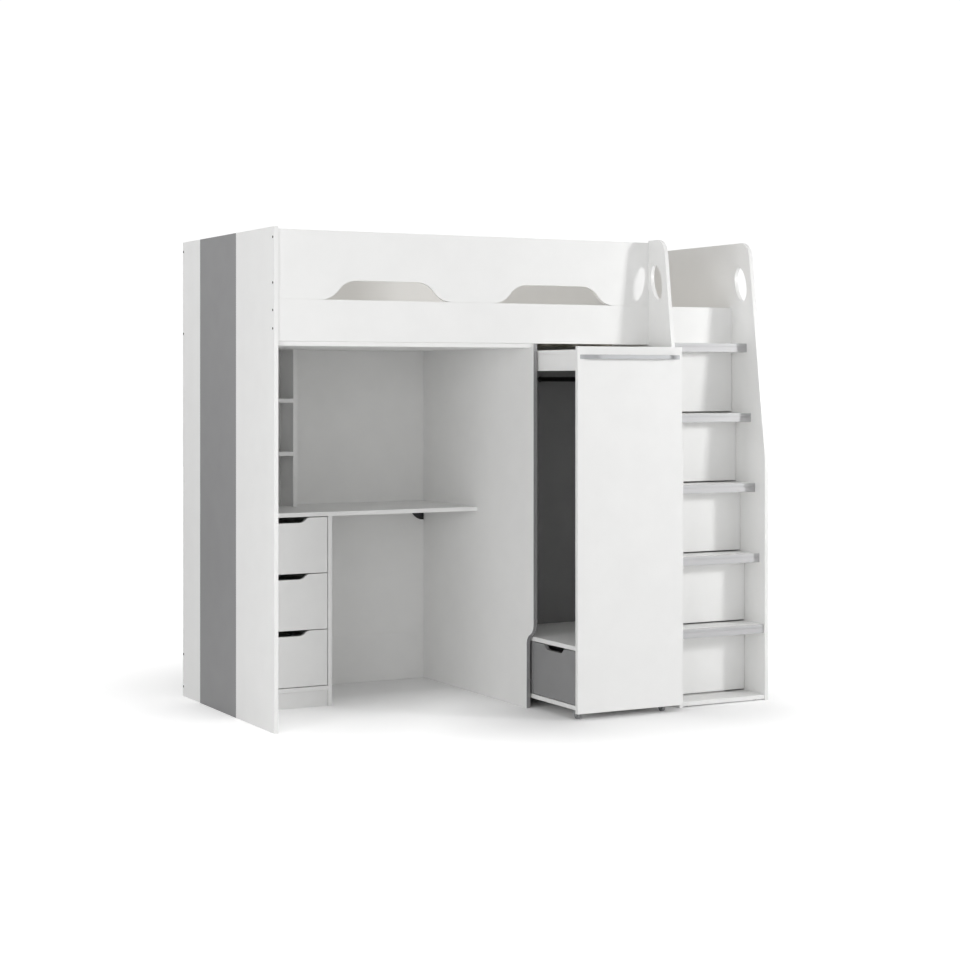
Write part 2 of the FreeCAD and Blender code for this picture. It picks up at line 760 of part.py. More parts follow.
def stair():
    across = (stair_left, inner_length)
    inset = (stair_left + size.riser_side_play, inner_length - size.riser_side_play)
    base_top = size.base_board_lift + size.board
    treads = []
    risers = []
    nosings = []
    for number in range(TREAD_COUNT):
        top = tread_top(number)
        low = top - size.tread_thickness
        front = tread_front(number) + size.nosing_thickness
        rear = rail_face if number == 0 else riser_face(number - 1) + size.board
        treads.append(span_block(f"tread_{number + 1}", across, (front, rear), (low, top)))
        last = number == TREAD_COUNT - 1
        below = base_top if last else tread_top(number + 1)
        face = riser_face(number)
        head = size.rail_underside if number == 0 else low
        deep = (face, face + size.board)
        tall = (below + size.riser_slit, head)
        risers.append(span_block(f"riser_{number + 1}", inset, deep, tall))
        nosings.append(nosing(f"nosing_{number + 1}", tread_front(number), low))
    group("stair_treads", treads)
    group("stair_risers", risers)
    group("tread_nosings", nosings)
    front = size.base_board_setback - size.stair_reach
    rear = riser_face(TREAD_COUNT - 1) + size.board
    thick = (size.base_board_lift, base_top)
    keep(span_block("stair_base_board", across, (front, rear), thick), "stair_base_board")
    from_edge = size.glide_inset
    glides = [
        rod(name, "z", x, y, ZERO, size.glide_radius, size.base_board_lift)
        for name, x, y in (
            ("glide_front_left", stair_left + from_edge, front + from_edge),
            ("glide_front_right", inner_length - from_edge, front + from_edge),
            ("glide_back_left", stair_left + from_edge, rear - from_edge),
            ("glide_back_right", inner_length - from_edge, rear - from_edge),
        )
    ]
    group("floor_glides", glides)


def nosing(name, front, low):
    """A metal strip on a tread's front, with one groove along it."""
    thick = size.nosing_thickness
    high = size.tread_thickness
    groove_top = high - size.nosing_groove_drop
    groove_low = groove_top - size.nosing_groove_width
    groove = size.nosing_groove_depth
    steps = [
        line_to(thick, ZERO),
        line_to(thick, high),
        line_to(ZERO, high),
        line_to(ZERO, groove_top),
        line_to(groove, groove_top),
        line_to(groove, groove_low),
        line_to(ZERO, groove_low),
        line_to(ZERO, ZERO),
    ]
    base = (stair_left, front, low)
    return shaped_board(name, "YZ_Plane", base, (ZERO, ZERO), steps, size.stair_width)


# Pull-out wardrobe: door, carcass open on its left side, hanging rail, drawer and castors
def wardrobe_carcass():
    whole = (wardrobe_left, wardrobe_right)
    inside = (wardrobe_left, inner_side_left)
    deep = (door_back, wardrobe_back)
    before_back = (door_back, wardrobe_back - size.board)
    back_span = (wardrobe_back - size.board, wardrobe_back)
    deck_low = size.deck_height - size.board
    for label, x_span, y_span, z_span in (
        ("wardrobe_door", whole, (door_face, door_back), (size.door_floor_gap, door_top)),
        ("wardrobe_base", whole, deep, (castor_height, wardrobe_base_top)),
        ("wardrobe_top", whole, deep, (top_board_underside, wardrobe_top)),
        (
            "wardrobe_side_panel",
            (inner_side_left, wardrobe_right),
            deep,
            (wardrobe_base_top, top_board_underside),
        ),
        (
            "wardrobe_back_panel",
            inside,
            back_span,
            (wardrobe_base_top, top_board_underside),
        ),
        ("wardrobe_deck", inside, before_back, (deck_low, size.deck_height)),
        (
            "wardrobe_divider",
            inside,
            (divider_face, divider_face + size.board),
            (wardrobe_base_top, deck_low),
        ),
        (
            "wardrobe_top_rail",
            (wardrobe_left, wardrobe_left + size.board),
            before_back,
            (top_board_underside - size.top_rail_height, top_board_underside),
        ),
    ):
        keep(span_block(label, x_span, y_span, z_span), label)


def hanging_rail():
    x = (wardrobe_left + inner_side_left) / 2
    z = top_board_underside - size.hang_drop
    front = door_back + size.socket_length
    back = wardrobe_back - size.board - size.socket_length
    rail = rod("hanging_rail", "y", x, front, z, size.hang_radius, back - front)
    keep(rail, "hanging_rail")
    sockets = [
        rod(name, "y", x, y, z, size.socket_radius, size.socket_length)
        for name, y in (("socket_front", door_back), ("socket_back", back))
    ]
    group("rail_sockets", sockets)


def door_handle():
    """A bow of flat bar: two feet on the door, S-curved ends and a straight grip."""
    span = size.handle_span
    rise = size.handle_rise
    inner_rise = rise - size.handle_bar
    curve = size.handle_curve
    foot = size.handle_foot
    outer_start = (ZERO, rise)
    outer_left = (curve, ZERO)
    outer_right = (span - curve, ZERO)
    outer_end = (span, rise)
    inner_end = (span - foot, rise)
    inner_right = (span - curve, size.handle_bar)
    inner_left = (curve, size.handle_bar)
    inner_start = (foot, rise)
    steps = ogee(outer_start, outer_left, "u", -1)
    steps += [line_to(*outer_right)]
    steps += ogee(outer_right, outer_end, "u", 1)
    steps += [line_to(*inner_end)]
    steps += ogee(inner_end, inner_right, "u", 1)
    steps += [line_to(*inner_left)]
    steps += ogee(inner_left, inner_start, "u", -1)
    steps += [line_to(*outer_start)]
    left = (wardrobe_left + wardrobe_right - span) / 2
    base = (left, handle_front, door_top - size.handle_drop - size.handle_height)
    bow = shaped_board(
        "wardrobe_handle", "XY_Plane", base, outer_start, steps, size.handle_height
    )
    keep(bow, "wardrobe_handle")


def wardrobe_drawer():
    """A drawer that opens to the left, towards the desk."""
    face = wardrobe_left
    low = wardrobe_base_top + size.front_play
    high = size.deck_height - size.board - size.front_play
    width = size.drawer_bay_depth - size.front_play * 2
    steps = notch_steps(
        width, high - low, size.small_notch_width, size.small_notch_side, size.small_notch_depth
    )
    base = (face, door_back + size.front_play, low)
    front = shaped_board(
        "wardrobe_drawer_front", "YZ_Plane", base, (ZERO, ZERO), steps, size.board
    )
    keep(front, "wardrobe_drawer_front")
    runner_gap = size.runner_thickness * 2 + size.runner_play
    box_low = low + size.box_lift
    box_tall = (box_low, box_low + size.small_box_height)
    deep = (face + size.board, face + size.board + size.small_box_length)
    near = door_back + runner_gap
    far = divider_face - runner_gap
    between = (near + size.drawer_side, far - size.drawer_side)
    rear = (deep[1] - size.drawer_side, deep[1])
    base_low = box_low + size.base_groove
    base_thick = (base_low, base_low + size.drawer_base)
    boards = [
        span_block("small_box_near", deep, (near, between[0]), box_tall),
        span_block("small_box_far", deep, (between[1], far), box_tall),
        span_block("small_box_rear", rear, between, box_tall),
        span_block("small_box_base", (deep[0], rear[0]), between, base_thick),
    ]
    group("wardrobe_drawer_box", boards)
    runner_low = box_low + size.runner_lift
    runner_tall = (runner_low, runner_low + size.runner_height)
    inner = size.runner_thickness
    moving = [
        span_block("small_slider_near", deep, (near - inner, near), runner_tall),
        span_block("small_slider_far", deep, (far, far + inner), runner_tall),
    ]
    group("wardrobe_drawer_runners", moving)
    fixed = [
        span_block("small_rail_near", deep, (door_back, door_back + inner), runner_tall),
        span_block("small_rail_far", deep, (divider_face - inner, divider_face), runner_tall),
    ]
    group("wardrobe_runners", fixed)


def castor_fork(name, x, y):
    """A mounting plate, two cheeks and the riveted axle, around a wheel centred at x, y."""
    half_gap = size.wheel_width / 2 + size.wheel_side_play
    half_fork = half_gap + size.cheek_thickness
    plate_low = castor_height - size.cheek_thickness
    half_plate = size.plate_length / 2
    cheek_low = size.wheel_radius - size.cheek_reach
    cheek_deep = (y - size.cheek_width / 2, y + size.cheek_width / 2)
    tall = (cheek_low, plate_low)
    plate = span_block(
        name + "_plate",
        (x - half_fork, x + half_fork),
        (y - half_plate, y + half_plate),
        (plate_low, castor_height),
    )
    left = span_block(name + "_left", (x - half_fork, x - half_gap), cheek_deep, tall)
    right = span_block(name + "_right", (x + half_gap, x + half_fork), cheek_deep, tall)
    axle = rod(
        name + "_axle",
        "x",
        x - half_fork,
        y,
        size.wheel_radius,
        size.axle_radius,
        half_fork * 2,
    )
    return fused(name, [plate, left, right, axle])


def castor_wheel(name, x, y):
    """A plain wheel with a running bore, standing on the floor."""
    start = x - size.wheel_width / 2
    centre = size.wheel_radius
    tyre = rod(name + "_tyre", "x", start, y, centre, size.wheel_radius, size.wheel_width)
    bore_radius = size.axle_radius + size.axle_play
    bore_start = start - size.overrun
    bore_length = size.wheel_width + size.overrun * 2
    bore = rod(name + "_bore", "x", bore_start, y, centre, bore_radius, bore_length)
    return cut(name, tyre, bore)


def castors():
    left = wardrobe_left + size.castor_left_inset
    right = wardrobe_right - size.castor_right_inset
    front = door_back + size.castor_front_inset
    back = wardrobe_back - size.castor_back_inset
    forks = []
    for row, y in (("front", front), ("rear", back)):
        wheels = []
        for side, x in (("left", left), ("right", right)):
            forks.append(castor_fork(f"{row}_{side}_fork", x, y))
            wheels.append(castor_wheel(f"{row}_{side}_wheel", x, y))
        group(f"{row}_wheels", wheels)
    group("castor_forks", forks)


def guide_strips():
    """Plain strips high in the bay that keep the wardrobe straight as it runs."""
    high = top_board_underside
    tall = (high - size.guide_height, high)
    deep = (rail_face + size.guide_setback, back_face)
    left = (bay_left, wardrobe_left - size.guide_play)
    right = (wardrobe_right + size.guide_play, stair_side_left)
    strips = [
        span_block("guide_left", left, deep, tall),
        span_block("guide_right", right, deep, tall),
    ]
    group("wardrobe_guides", strips)


# Fasteners that show: screws through the end panels into rails and guards
def screw(name, side, y, z):
    """A screw with a round head on the outer face of an end panel; side is -1 or 1."""
    head_height = size.screw_head_height
    if side < 0:
        head_x = -size.board - head_height
        shank_x = -size.board
    else:
        head_x = inner_length + size.board
        shank_x = head_x - size.screw_length
    head = rod(name + "_head", "x", head_x, y, z, size.screw_head_radius, head_height)
    shank = rod(name + "_shank", "x", shank_x, y, z, size.screw_radius, size.screw_length)
    return fused(name, [head, shank])


def end_screws():
    front_y = rail_face + size.board / 2
    back_y = back_face + size.board / 2
    rail_low = size.rail_underside + size.rail_screw_low
    rail_high = size.rail_underside + size.rail_screw_high
    guard_low = rail_top + size.guard_screw_low
    guard_high = rail_top + size.guard_screw_high
    low = size.low_screw_height
    places = [
        (front_y, rail_low),
        (front_y, rail_high),
        (front_y, guard_low),
        (front_y, guard_high),
        (back_y, low),
        (back_y, low + size.low_screw_pitch),
        (back_y, rail_low),
        (back_y, guard_high),
    ]
    screws = []
    for side, word in ((-1, "left"), (1, "right")):
        for number, (y, z) in enumerate(places, start=1):
            screws.append(screw(f"{word}_screw_{number}", side, y, z))
    group("panel_screws", screws)


left_end()
stair_sides()
bed_box()
mattress_base()
desk_partition()
back_panels()
desk_and_shelves()
pedestal()
desk_drawers()
stair()
wardrobe_carcass()
hanging_rail()
door_handle()
wardrobe_drawer()
castors()
guide_strips()
end_screws()
doc.recompute()

for thing in doc.Objects:
    if "Invalid" in thing.State or "Error" in thing.State:
        raise RuntimeError(f"{thing.Label} failed: {thing.State}")
for node in nodes:
    if node.Shape.isNull() or not node.Shape.isValid():
        raise RuntimeError(f"{node.Label} has no valid shape")
    if not node.Shape.Solids:
        raise RuntimeError(f"{node.Label} holds no solid")

os.makedirs("parts", exist_ok=True)
for node in nodes:
    node.Shape.exportStep(f"parts/{node.Label}.step")
print(len(nodes), "nodes,", sum(len(node.Shape.Solids) for node in nodes), "solids")
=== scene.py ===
"""Looks of the high sleeper bed.

Faced boards, metal strips, handle, rail, runners, castors, slats, screws and the stage.
"""

import json
import math

import bmesh
import bpy
import numpy as np
from bpy.props import FloatProperty, FloatVectorProperty, IntProperty, PointerProperty
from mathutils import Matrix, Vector


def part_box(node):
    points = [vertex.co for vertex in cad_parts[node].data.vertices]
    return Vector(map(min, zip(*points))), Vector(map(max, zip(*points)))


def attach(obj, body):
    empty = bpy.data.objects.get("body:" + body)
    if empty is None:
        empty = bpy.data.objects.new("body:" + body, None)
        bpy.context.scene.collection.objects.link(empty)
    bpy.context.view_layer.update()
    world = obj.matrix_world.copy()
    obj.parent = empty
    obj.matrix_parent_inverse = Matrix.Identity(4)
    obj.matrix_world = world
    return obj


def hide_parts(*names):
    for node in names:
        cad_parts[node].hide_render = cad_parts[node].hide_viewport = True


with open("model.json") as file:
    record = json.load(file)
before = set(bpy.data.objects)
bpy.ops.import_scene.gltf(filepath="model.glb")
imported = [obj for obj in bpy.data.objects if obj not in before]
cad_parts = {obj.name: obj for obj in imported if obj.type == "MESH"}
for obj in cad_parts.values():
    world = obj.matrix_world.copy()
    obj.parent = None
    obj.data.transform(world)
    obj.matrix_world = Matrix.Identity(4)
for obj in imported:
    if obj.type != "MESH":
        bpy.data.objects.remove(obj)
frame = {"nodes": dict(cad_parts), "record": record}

bl_info = {
    "name": "High sleeper bed looks",
    "version": (1, 0, 0),
    "blender": (4, 5, 0),
    "location": "3D View > Sidebar > Bed",
    "description": "Boards, metal parts, fittings and stage of a high sleeper bed",
    "category": "Object",
}

MM = 0.001
AXES = np.eye(3)
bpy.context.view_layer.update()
SLOT_OF = {row["node"]: row["material_slot"] for row in frame["record"]["subparts"]}
BODY_OF = {
    node: body for body, nodes in frame["record"]["behaviour"]["bodies"].items() for node in nodes
}


def linear(code):
    """An sRGB hex colour as linear red, green, blue and alpha."""
    levels = np.array([int(code[k : k + 2], 16) for k in (1, 3, 5)]) / 255
    curved = ((levels + 0.055) / 1.055) ** 2.4
    straight = levels / 12.92
    return (*np.where(levels <= 0.04045, straight, curved).tolist(), 1.0)


# Sizes and colours


def colour(name, description, code):
    """A colour setting whose default is an sRGB hex colour."""
    return FloatVectorProperty(
        name=name,
        description=description,
        subtype="COLOR",
        size=4,
        min=0.0,
        max=1.0,
        default=linear(code),
    )


def length(name, description, millimetres, low=0.0, high=1000.0):
    """A length setting, given in millimetres and kept in metres."""
    return FloatProperty(
        name=name,
        description=description,
        subtype="DISTANCE",
        unit="LENGTH",
        min=low * MM,
        max=high * MM,
        default=millimetres * MM,
    )


def share(name, description, default):
    """A setting from nothing to full."""
    return FloatProperty(
        name=name, description=description, subtype="FACTOR", min=0.0, max=1.0, default=default
    )


class BoardLook(bpy.types.PropertyGroup):
    """Facing and edging of the boards"""

    white: colour("White board", "Pale tone of the white melamine faces", "#F3F3F2")
    white_deep: colour("White board, deeper", "Deeper tone of the white melamine faces", "#F1F1F0")
    grey: colour("Grey board", "Pale tone of the grey melamine faces", "#919192")
    grey_deep: colour("Grey board, deeper", "Deeper tone of the grey melamine faces", "#8E8E8F")
    foil: colour("Drawer board", "Pale tone of the foil-wrapped drawer boards", "#ECECEA")
    foil_deep: colour("Drawer board, deeper", "Deeper tone of the drawer boards", "#E6E6E3")
    face_roughness: share("Face roughness", "Roughness of the satin board faces", 0.46)
    edging_roughness: share("Edging roughness", "Roughness of the edging strips", 0.34)
    edge_radius: length("Edge radius", "Rounding of the boards' edging strips", 0.8, 0.1, 3.0)
    edging_width: length(
        "Widest edging", "A flat narrower than this is an edging strip", 36.0, 5.0, 60.0
    )


class WoodLook(bpy.types.PropertyGroup):
    """Pine of the mattress base"""

    pale: colour("Early wood", "Pale bands of the planed pine", "#E2DDD3")
    deep: colour("Late wood", "Dark bands of the planed pine", "#D2C9BA")
    knot: colour("Knots", "Colour of the knots", "#9C8264")
    roughness: share("Roughness", "Roughness of the planed pine", 0.6)
    slat_radius: length("Slat edge radius", "Rounding along a mattress slat", 3.0, 0.2, 6.0)
    batten_radius: length("Batten edge radius", "Rounding along a batten", 2.0, 0.2, 6.0)


class MetalLook(bpy.types.PropertyGroup):
    """Nosings, handle, hanging rail, runners, castor forks and screws"""

    aluminium: colour("Aluminium", "Matt anodised aluminium of the stair nosings", "#CCCCCD")
    chrome: colour("Chrome", "Matt chrome of the door's handle", "#BFC0C2")
    zinc: colour("Zinc", "Pale tone of zinc-plated steel", "#B9BBBD")
    zinc_deep: colour("Zinc, deeper", "Deeper tone of zinc-plated steel", "#A4A7AA")
    screw: colour("Screws", "Blackened steel of the screws and hanging rail", "#2B2B2C")
    nosing_radius: length("Nosing edge radius", "Rounding of a nosing's outer edges", 0.9, 0.1, 1.4)
    groove_drop: length("Groove drop", "From a nosing's top to its groove", 12.0, 2.0, 30.0)
    groove_width: length("Groove width", "Width of a nosing's groove", 2.6, 0.2, 4.0)
    groove_depth: length("Groove depth", "Depth of a nosing's groove", 1.8, 0.1, 2.5)
    handle_bar: length("Handle bar", "Thickness of the handle's grip", 5.0, 2.0, 12.0)
    handle_foot: length("Handle foot", "Length of each foot on the door", 14.0, 6.0, 30.0)
    handle_curve: length("Handle curve", "Length of each S-curved end", 78.0, 30.0, 120.0)
    handle_radius: length("Handle edge radius", "Rounding of the handle's section", 1.6, 0.1, 2.4)
    wall: length("Runner wall", "Thickness of the runners' rolled steel", 1.2, 0.5, 2.0)
    lip: length("Runner lip", "How far a runner's edge turns in", 7.0, 2.0, 12.0)
    screw_radius: length("Screw head radius", "Radius of a screw head", 4.5, 1.0, 8.0)
    screw_height: length("Screw head height", "How far a screw head stands up", 1.2, 0.3, 3.0)
    recess_width: length("Recess width", "Width of an arm of the cross recess", 1.1, 0.3, 3.0)


class PlasticLook(bpy.types.PropertyGroup):
    """Wheels, glides, sockets, guide strips and the dark sheet of painted shade behind the cable
    notch
    """

    grey: colour("Grey plastic", "Moulded grey plastic of the wheels", "#8B8C8D")
    black: colour("Black plastic", "Moulded black plastic of glides and sockets", "#1E1E1F")
    # Dark sheet behind the cable notch: painted shade, standing where the notch shows only shadow
    shade_sheet: colour("Cable cover", "Moulded dark plastic behind the cable notch", "#38383A")
    white: colour("White plastic", "Extruded white plastic of the guide strips", "#E4E4E2")
    shoulder: length("Wheel shoulder", "Rounding of a wheel's tread", 2.6, 0.5, 6.0)
    hub_recess: length("Hub recess", "How deep a wheel's side is dished", 1.6, 0.0, 4.0)
    bore: length("Wheel bore", "Radius of a wheel's bore", 3.2, 1.0, 6.0)
    glide_radius: length("Glide edge radius", "Rounding of a floor glide", 1.5, 0.2, 2.4)
    round_steps: IntProperty(
        name="Round steps", description="Points round a turned part", min=12, max=128, default=48
    )


def power(name, description, watts):
    """The power of one studio light."""
    return FloatProperty(name=name, description=description, unit="POWER", min=0.0, default=watts)


class StageLook(bpy.types.PropertyGroup):
    """Floor, surround and studio lights"""

    floor: colour("Floor", "Colour of the studio floor", "#FCFCFC")
    floor_size: length("Floor size", "Side of the floor", 40000.0, 5000.0, 100000.0)
    surround: FloatProperty(
        name="Surround",
        description="Strength of the light from front and back",
        min=0.0,
        default=0.86,
    )
    key: power("Key", "Power of the light at front right, which casts the shadows", 62.0)
    front_left: power("Front left", "Power of the broad light at front left", 62.0)
    front_right: power("Front right", "Power of the broad light at front right", 11.0)
    left_end: power("Left end", "Power of the near light on the left end", 23.0)
    left_back: power("Left back", "Power of the high light behind the left end", 12.0)
    overhead: power("Overhead", "Power of the broad light overhead", 147.0)


# Meshes from grids of points

# Straight pieces that draw one rounded corner
ARC_STEPS = 5
# Points nearer than this are one, and edges shorter than this are dropped, in metres
SAME_POINT = 2e-6
SHORTEST_EDGE = 1e-6
# Decimals of a metre to which the corners of a CAD node are compared
CORNER_DECIMALS = 6
# Triangles that turn by less than this belong to one flat face
FLAT_WITHIN = math.radians(0.5)
# A face runs along an axis when its normal leans towards that axis by less than this
RUNS_ALONG = 0.2


def eased(corners, radius):
    """Closed outline with rounded corners.

    Round corner C it follows (1-t)^2 A + 2t(1-t) C + t^2 B, where A and B lie one radius away
    along C's two edges.
    """
    corners = np.asarray(corners, float)
    radius = np.broadcast_to(np.asarray(radius, float), len(corners))[:, None]
    before = np.roll(corners, 1, axis=0) - corners
    after = np.roll(corners, -1, axis=0) - corners
    start = corners + before / np.linalg.norm(before, axis=1, keepdims=True) * radius
    end = corners + after / np.linalg.norm(after, axis=1, keepdims=True) * radius
    t = np.linspace(0.0, 1.0, ARC_STEPS + 1)[None, :, None]
    arcs = (1 - t) ** 2 * start[:, None] + 2 * t * (1 - t) * corners[:, None] + t**2 * end[:, None]
    return arcs.reshape(-1, 2)


def rectangle(width, height):
    """The four corners of a rectangle that starts at zero."""
    return [(0.0, 0.0), (width, 0.0), (width, height), (0.0, height)]


def carried(profile, path, across, up):
    """A profile carried along a path.

    point = path(s) + p * across + q * up, for each profile point (p, q).
    """
    path = np.asarray(path)[:, None, :]
    return path + profile[None, :, 0:1] * across + profile[None, :, 1:2] * up


def turned(profile, centre, axis, steps):
    """A profile of points (along, radius) turned about an axis.

    point = centre + along * axis + radius * (cos a, sin a) across the axis.
    """
    angle = np.linspace(0.0, 2 * math.pi, steps, endpoint=False)[:, None, None]
    along, first, second = (AXES[(axis + k) % 3] for k in range(3))
    spoke = np.cos(angle) * first + np.sin(angle) * second
    return centre + profile[None, :, 0:1] * along + profile[None, :, 1:2] * spoke


def grid_quads(rows, columns, wrap_rows, wrap_columns):
    """The quads of a grid: a point, its next in the row and the same two in the next row."""
    row = np.arange(rows if wrap_rows else rows - 1)[:, None]
    column = np.arange(columns if wrap_columns else columns - 1)[None, :]
    next_row = (row + 1) % rows
    next_column = (column + 1) % columns
    corners = [
        row * columns + column,
        row * columns + next_column,
        next_row * columns + next_column,
        next_row * columns + column,
    ]
    return np.stack(np.broadcast_arrays(*corners), axis=-1).reshape(-1, 4)


def grid_mesh(name, grids, wrap_rows=False, wrap_columns=True, lids=True):
    """A mesh of equal grids, its seams and poles merged and its faces turned outwards.

    Where a grid's first and last rows are open, each has a lid.
    """
    grids = np.asarray(grids, float)
    copies, rows, columns, _ = grids.shape
    quads = grid_quads(rows, columns, wrap_rows, wrap_columns)
    start = (np.arange(copies) * rows * columns)[:, None, None]
    faces = (quads[None] + start).reshape(-1, 4).tolist()
    if lids:
        ring = np.arange(columns)
        faces += (ring[::-1][None] + start[:, 0]).tolist()
        faces += (ring[None] + start[:, 0] + (rows - 1) * columns).tolist()
    mesh = bpy.data.meshes.new(name)
    mesh.from_pydata(grids.reshape(-1, 3).tolist(), [], faces)
    work = bmesh.new()
    work.from_mesh(mesh)
    bmesh.ops.remove_doubles(work, verts=work.verts, dist=SAME_POINT)
    bmesh.ops.dissolve_degenerate(work, dist=SHORTEST_EDGE, edges=work.edges)
    bmesh.ops.recalc_face_normals(work, faces=work.faces)
    work.to_mesh(mesh)
    work.free()
    return mesh


def turned_mesh(name, grids, closed):
    """A mesh of turned profiles: closed outlines, or profiles that start and end on the axis."""
    return grid_mesh(name, grids, wrap_rows=True, wrap_columns=closed, lids=False)


def numbers(items, name, kind, width=1):
    """A named value of each of a mesh's items, in rows of the given width."""
    values = np.empty(len(items) * width, kind)
    items.foreach_get(name, values)
    return values.reshape(-1, width)


def node_mesh(name):
    """Corners and triangles of a CAD node, with the corners that its faces share counted once."""
    source = frame["nodes"][name].data
    corners = numbers(source.vertices, "co", np.float32, 3).astype(float)
    loops = numbers(source.loops, "vertex_index", np.int32).ravel()
    corners = np.round(corners, CORNER_DECIMALS)
    places, index = np.unique(corners, axis=0, return_inverse=True)
    return places, index.reshape(-1)[loops].reshape(-1, 3)


def solids(name):
    """The lowest and highest corner of each separate solid of a CAD node.

    Corners joined by a triangle take the lowest label among them until none changes.
    """
    places, triangles = node_mesh(name)
    label = np.arange(len(places))
    while True:
        lowest = label[triangles].min(axis=1)
        joined = label.copy()
        np.minimum.at(joined, triangles.ravel(), np.repeat(lowest, 3))
        if np.array_equal(joined, label):
            break
        label = joined
    groups = [places[label == one] for one in np.unique(label)]
    return [(group.min(axis=0), group.max(axis=0)) for group in groups]


def whole_face_copy(name):
    """A merged copy of a CAD node, with each flat face whole again in place of its triangles."""
    places, triangles = node_mesh(name)
    mesh = bpy.data.meshes.new(name + "_board")
    mesh.from_pydata(places.tolist(), [], triangles.tolist())
    work = bmesh.new()
    work.from_mesh(mesh)
    bmesh.ops.dissolve_limit(work, angle_limit=FLAT_WITHIN, verts=work.verts, edges=work.edges)
    work.to_mesh(mesh)
    work.free()
    return mesh


def mark_edging(mesh, widest):
    """Marks the faces that are an edging strip: narrow along an axis that they run along."""
    starts = numbers(mesh.polygons, "loop_start", np.int32).ravel()
    normals = numbers(mesh.polygons, "normal", np.float32, 3)
    corners = numbers(mesh.vertices, "co", np.float32, 3)
    places = corners[numbers(mesh.loops, "vertex_index", np.int32).ravel()]
    extent = np.maximum.reduceat(places, starts) - np.minimum.reduceat(places, starts)
    narrow = ((np.abs(normals) < RUNS_ALONG) & (extent < widest)).any(axis=1)
    marks = mesh.attributes.new("edging", "FLOAT", "FACE")
    marks.data.foreach_set("value", narrow.astype(np.float32))


def show(mesh, material, nodes, ease=0.0, sharp=30.0):
    """Puts a mesh in the scene as the piece that stands for CAD nodes of one body.

    It is smooth but for its sharp edges, which are eased where a radius is given.
    """
    piece = bpy.data.objects.new(mesh.name, mesh)
    bpy.context.scene.collection.objects.link(piece)
    mesh.materials.append(material)
    mesh.shade_smooth()
    mesh.set_sharp_from_angle(angle=math.radians(sharp))
    if ease > 0.0:
        bevel = piece.modifiers.new("eased_edges", "BEVEL")
        bevel.width = ease
        bevel.segments = 2
        bevel.limit_method = "ANGLE"
        bevel.angle_limit = math.radians(sharp)
        bevel.harden_normals = True
    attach(piece, BODY_OF[nodes[0]])
    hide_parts(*nodes)


# Materials


def add(tree, kind, inputs=None, **settings):
    """Adds a node with its settings; an input is a number, a colour or the output that feeds it."""
    node = tree.nodes.new(kind)
    for name, value in settings.items():
        setattr(node, name, value)
    for name, value in (inputs or {}).items():
        if isinstance(value, bpy.types.NodeSocket):
            tree.links.new(value, node.inputs[name])
        else:
            node.inputs[name].default_value = value
    return node


def blank(name, **sockets):
    """A material, its node tree, its shader with named sockets set, and its own coordinates."""
    material = bpy.data.materials.new(name)
    material.use_nodes = True
    tree = material.node_tree
    shader = tree.nodes["Principled BSDF"]
    for socket, value in sockets.items():
        shader.inputs[socket.replace("_", " ")].default_value = value
    place = add(tree, "ShaderNodeTexCoord").outputs["Object"]
    return material, tree, shader, place


def two_tone(tree, amount, low, high):
    """A colour between two, by an amount from a pattern."""
    return add(tree, "ShaderNodeMix", {0: amount, 6: low, 7: high}, data_type="RGBA").outputs[2]


def spread(tree, value, low, high, start=0.3, stop=0.7):
    """A pattern's middle values spread from low to high."""
    inputs = {"Value": value, "From Min": start, "From Max": stop, "To Min": low, "To Max": high}
    return add(tree, "ShaderNodeMapRange", inputs).outputs["Result"]


def noise(tree, place, width, detail=2.0):
    """A cloudy pattern whose patches are about a width across, in metres."""
    inputs = {"Vector": place, "Scale": 1 / width, "Detail": detail}
    return add(tree, "ShaderNodeTexNoise", inputs).outputs[0]


def raised(tree, shader, pattern, strength, height):
    """Makes a surface catch the light as if a pattern stood up from it by a height in metres."""
    inputs = {"Height": pattern, "Strength": strength, "Distance": height}
    tree.links.new(add(tree, "ShaderNodeBump", inputs).outputs[0], shader.inputs["Normal"])


def scaled(tone, factor):
    """A colour with its levels scaled by a factor."""
    return tuple(level * factor for level in tone[:3]) + (1.0,)


def mottled(tree, shader, pattern, deep, pale, smooth, rough):
    """Gives a surface two tones and two roughnesses, mixed by one pattern."""
    even = spread(tree, pattern, 0.0, 1.0)
    tree.links.new(two_tone(tree, even, deep, pale), shader.inputs["Base Color"])
    tree.links.new(spread(tree, pattern, smooth, rough), shader.inputs["Roughness"])


def melamine(name, pale, deep, strip, face_roughness, edging_roughness):
    """Melamine-faced chipboard, pressed against a satin plate.

    An even colour with a soft sheen and a faint orange-peel; its plastic edging strips are a
    little glossier and have a colour of their own. The clouding of the paper is about 90 mm wide.
    The plate's texture is about 0.5 mm, too fine for the render, so it is drawn 5 mm wide.
    """
    material, tree, shader, place = blank(name)
    cloud = noise(tree, place, width=0.09)
    peel = noise(tree, place, width=0.005)
    edging = add(tree, "ShaderNodeAttribute", attribute_name="edging").outputs["Fac"]
    face = two_tone(tree, spread(tree, cloud, 0.0, 1.0), deep, pale)
    tree.links.new(two_tone(tree, edging, face, strip), shader.inputs["Base Color"])
    roughness = add(tree, "ShaderNodeMix", {0: edging, 2: face_roughness, 3: edging_roughness})
    tree.links.new(roughness.outputs[0], shader.inputs["Roughness"])
    raised(tree, shader, peel, strength=0.12, height=0.0002)
    return material


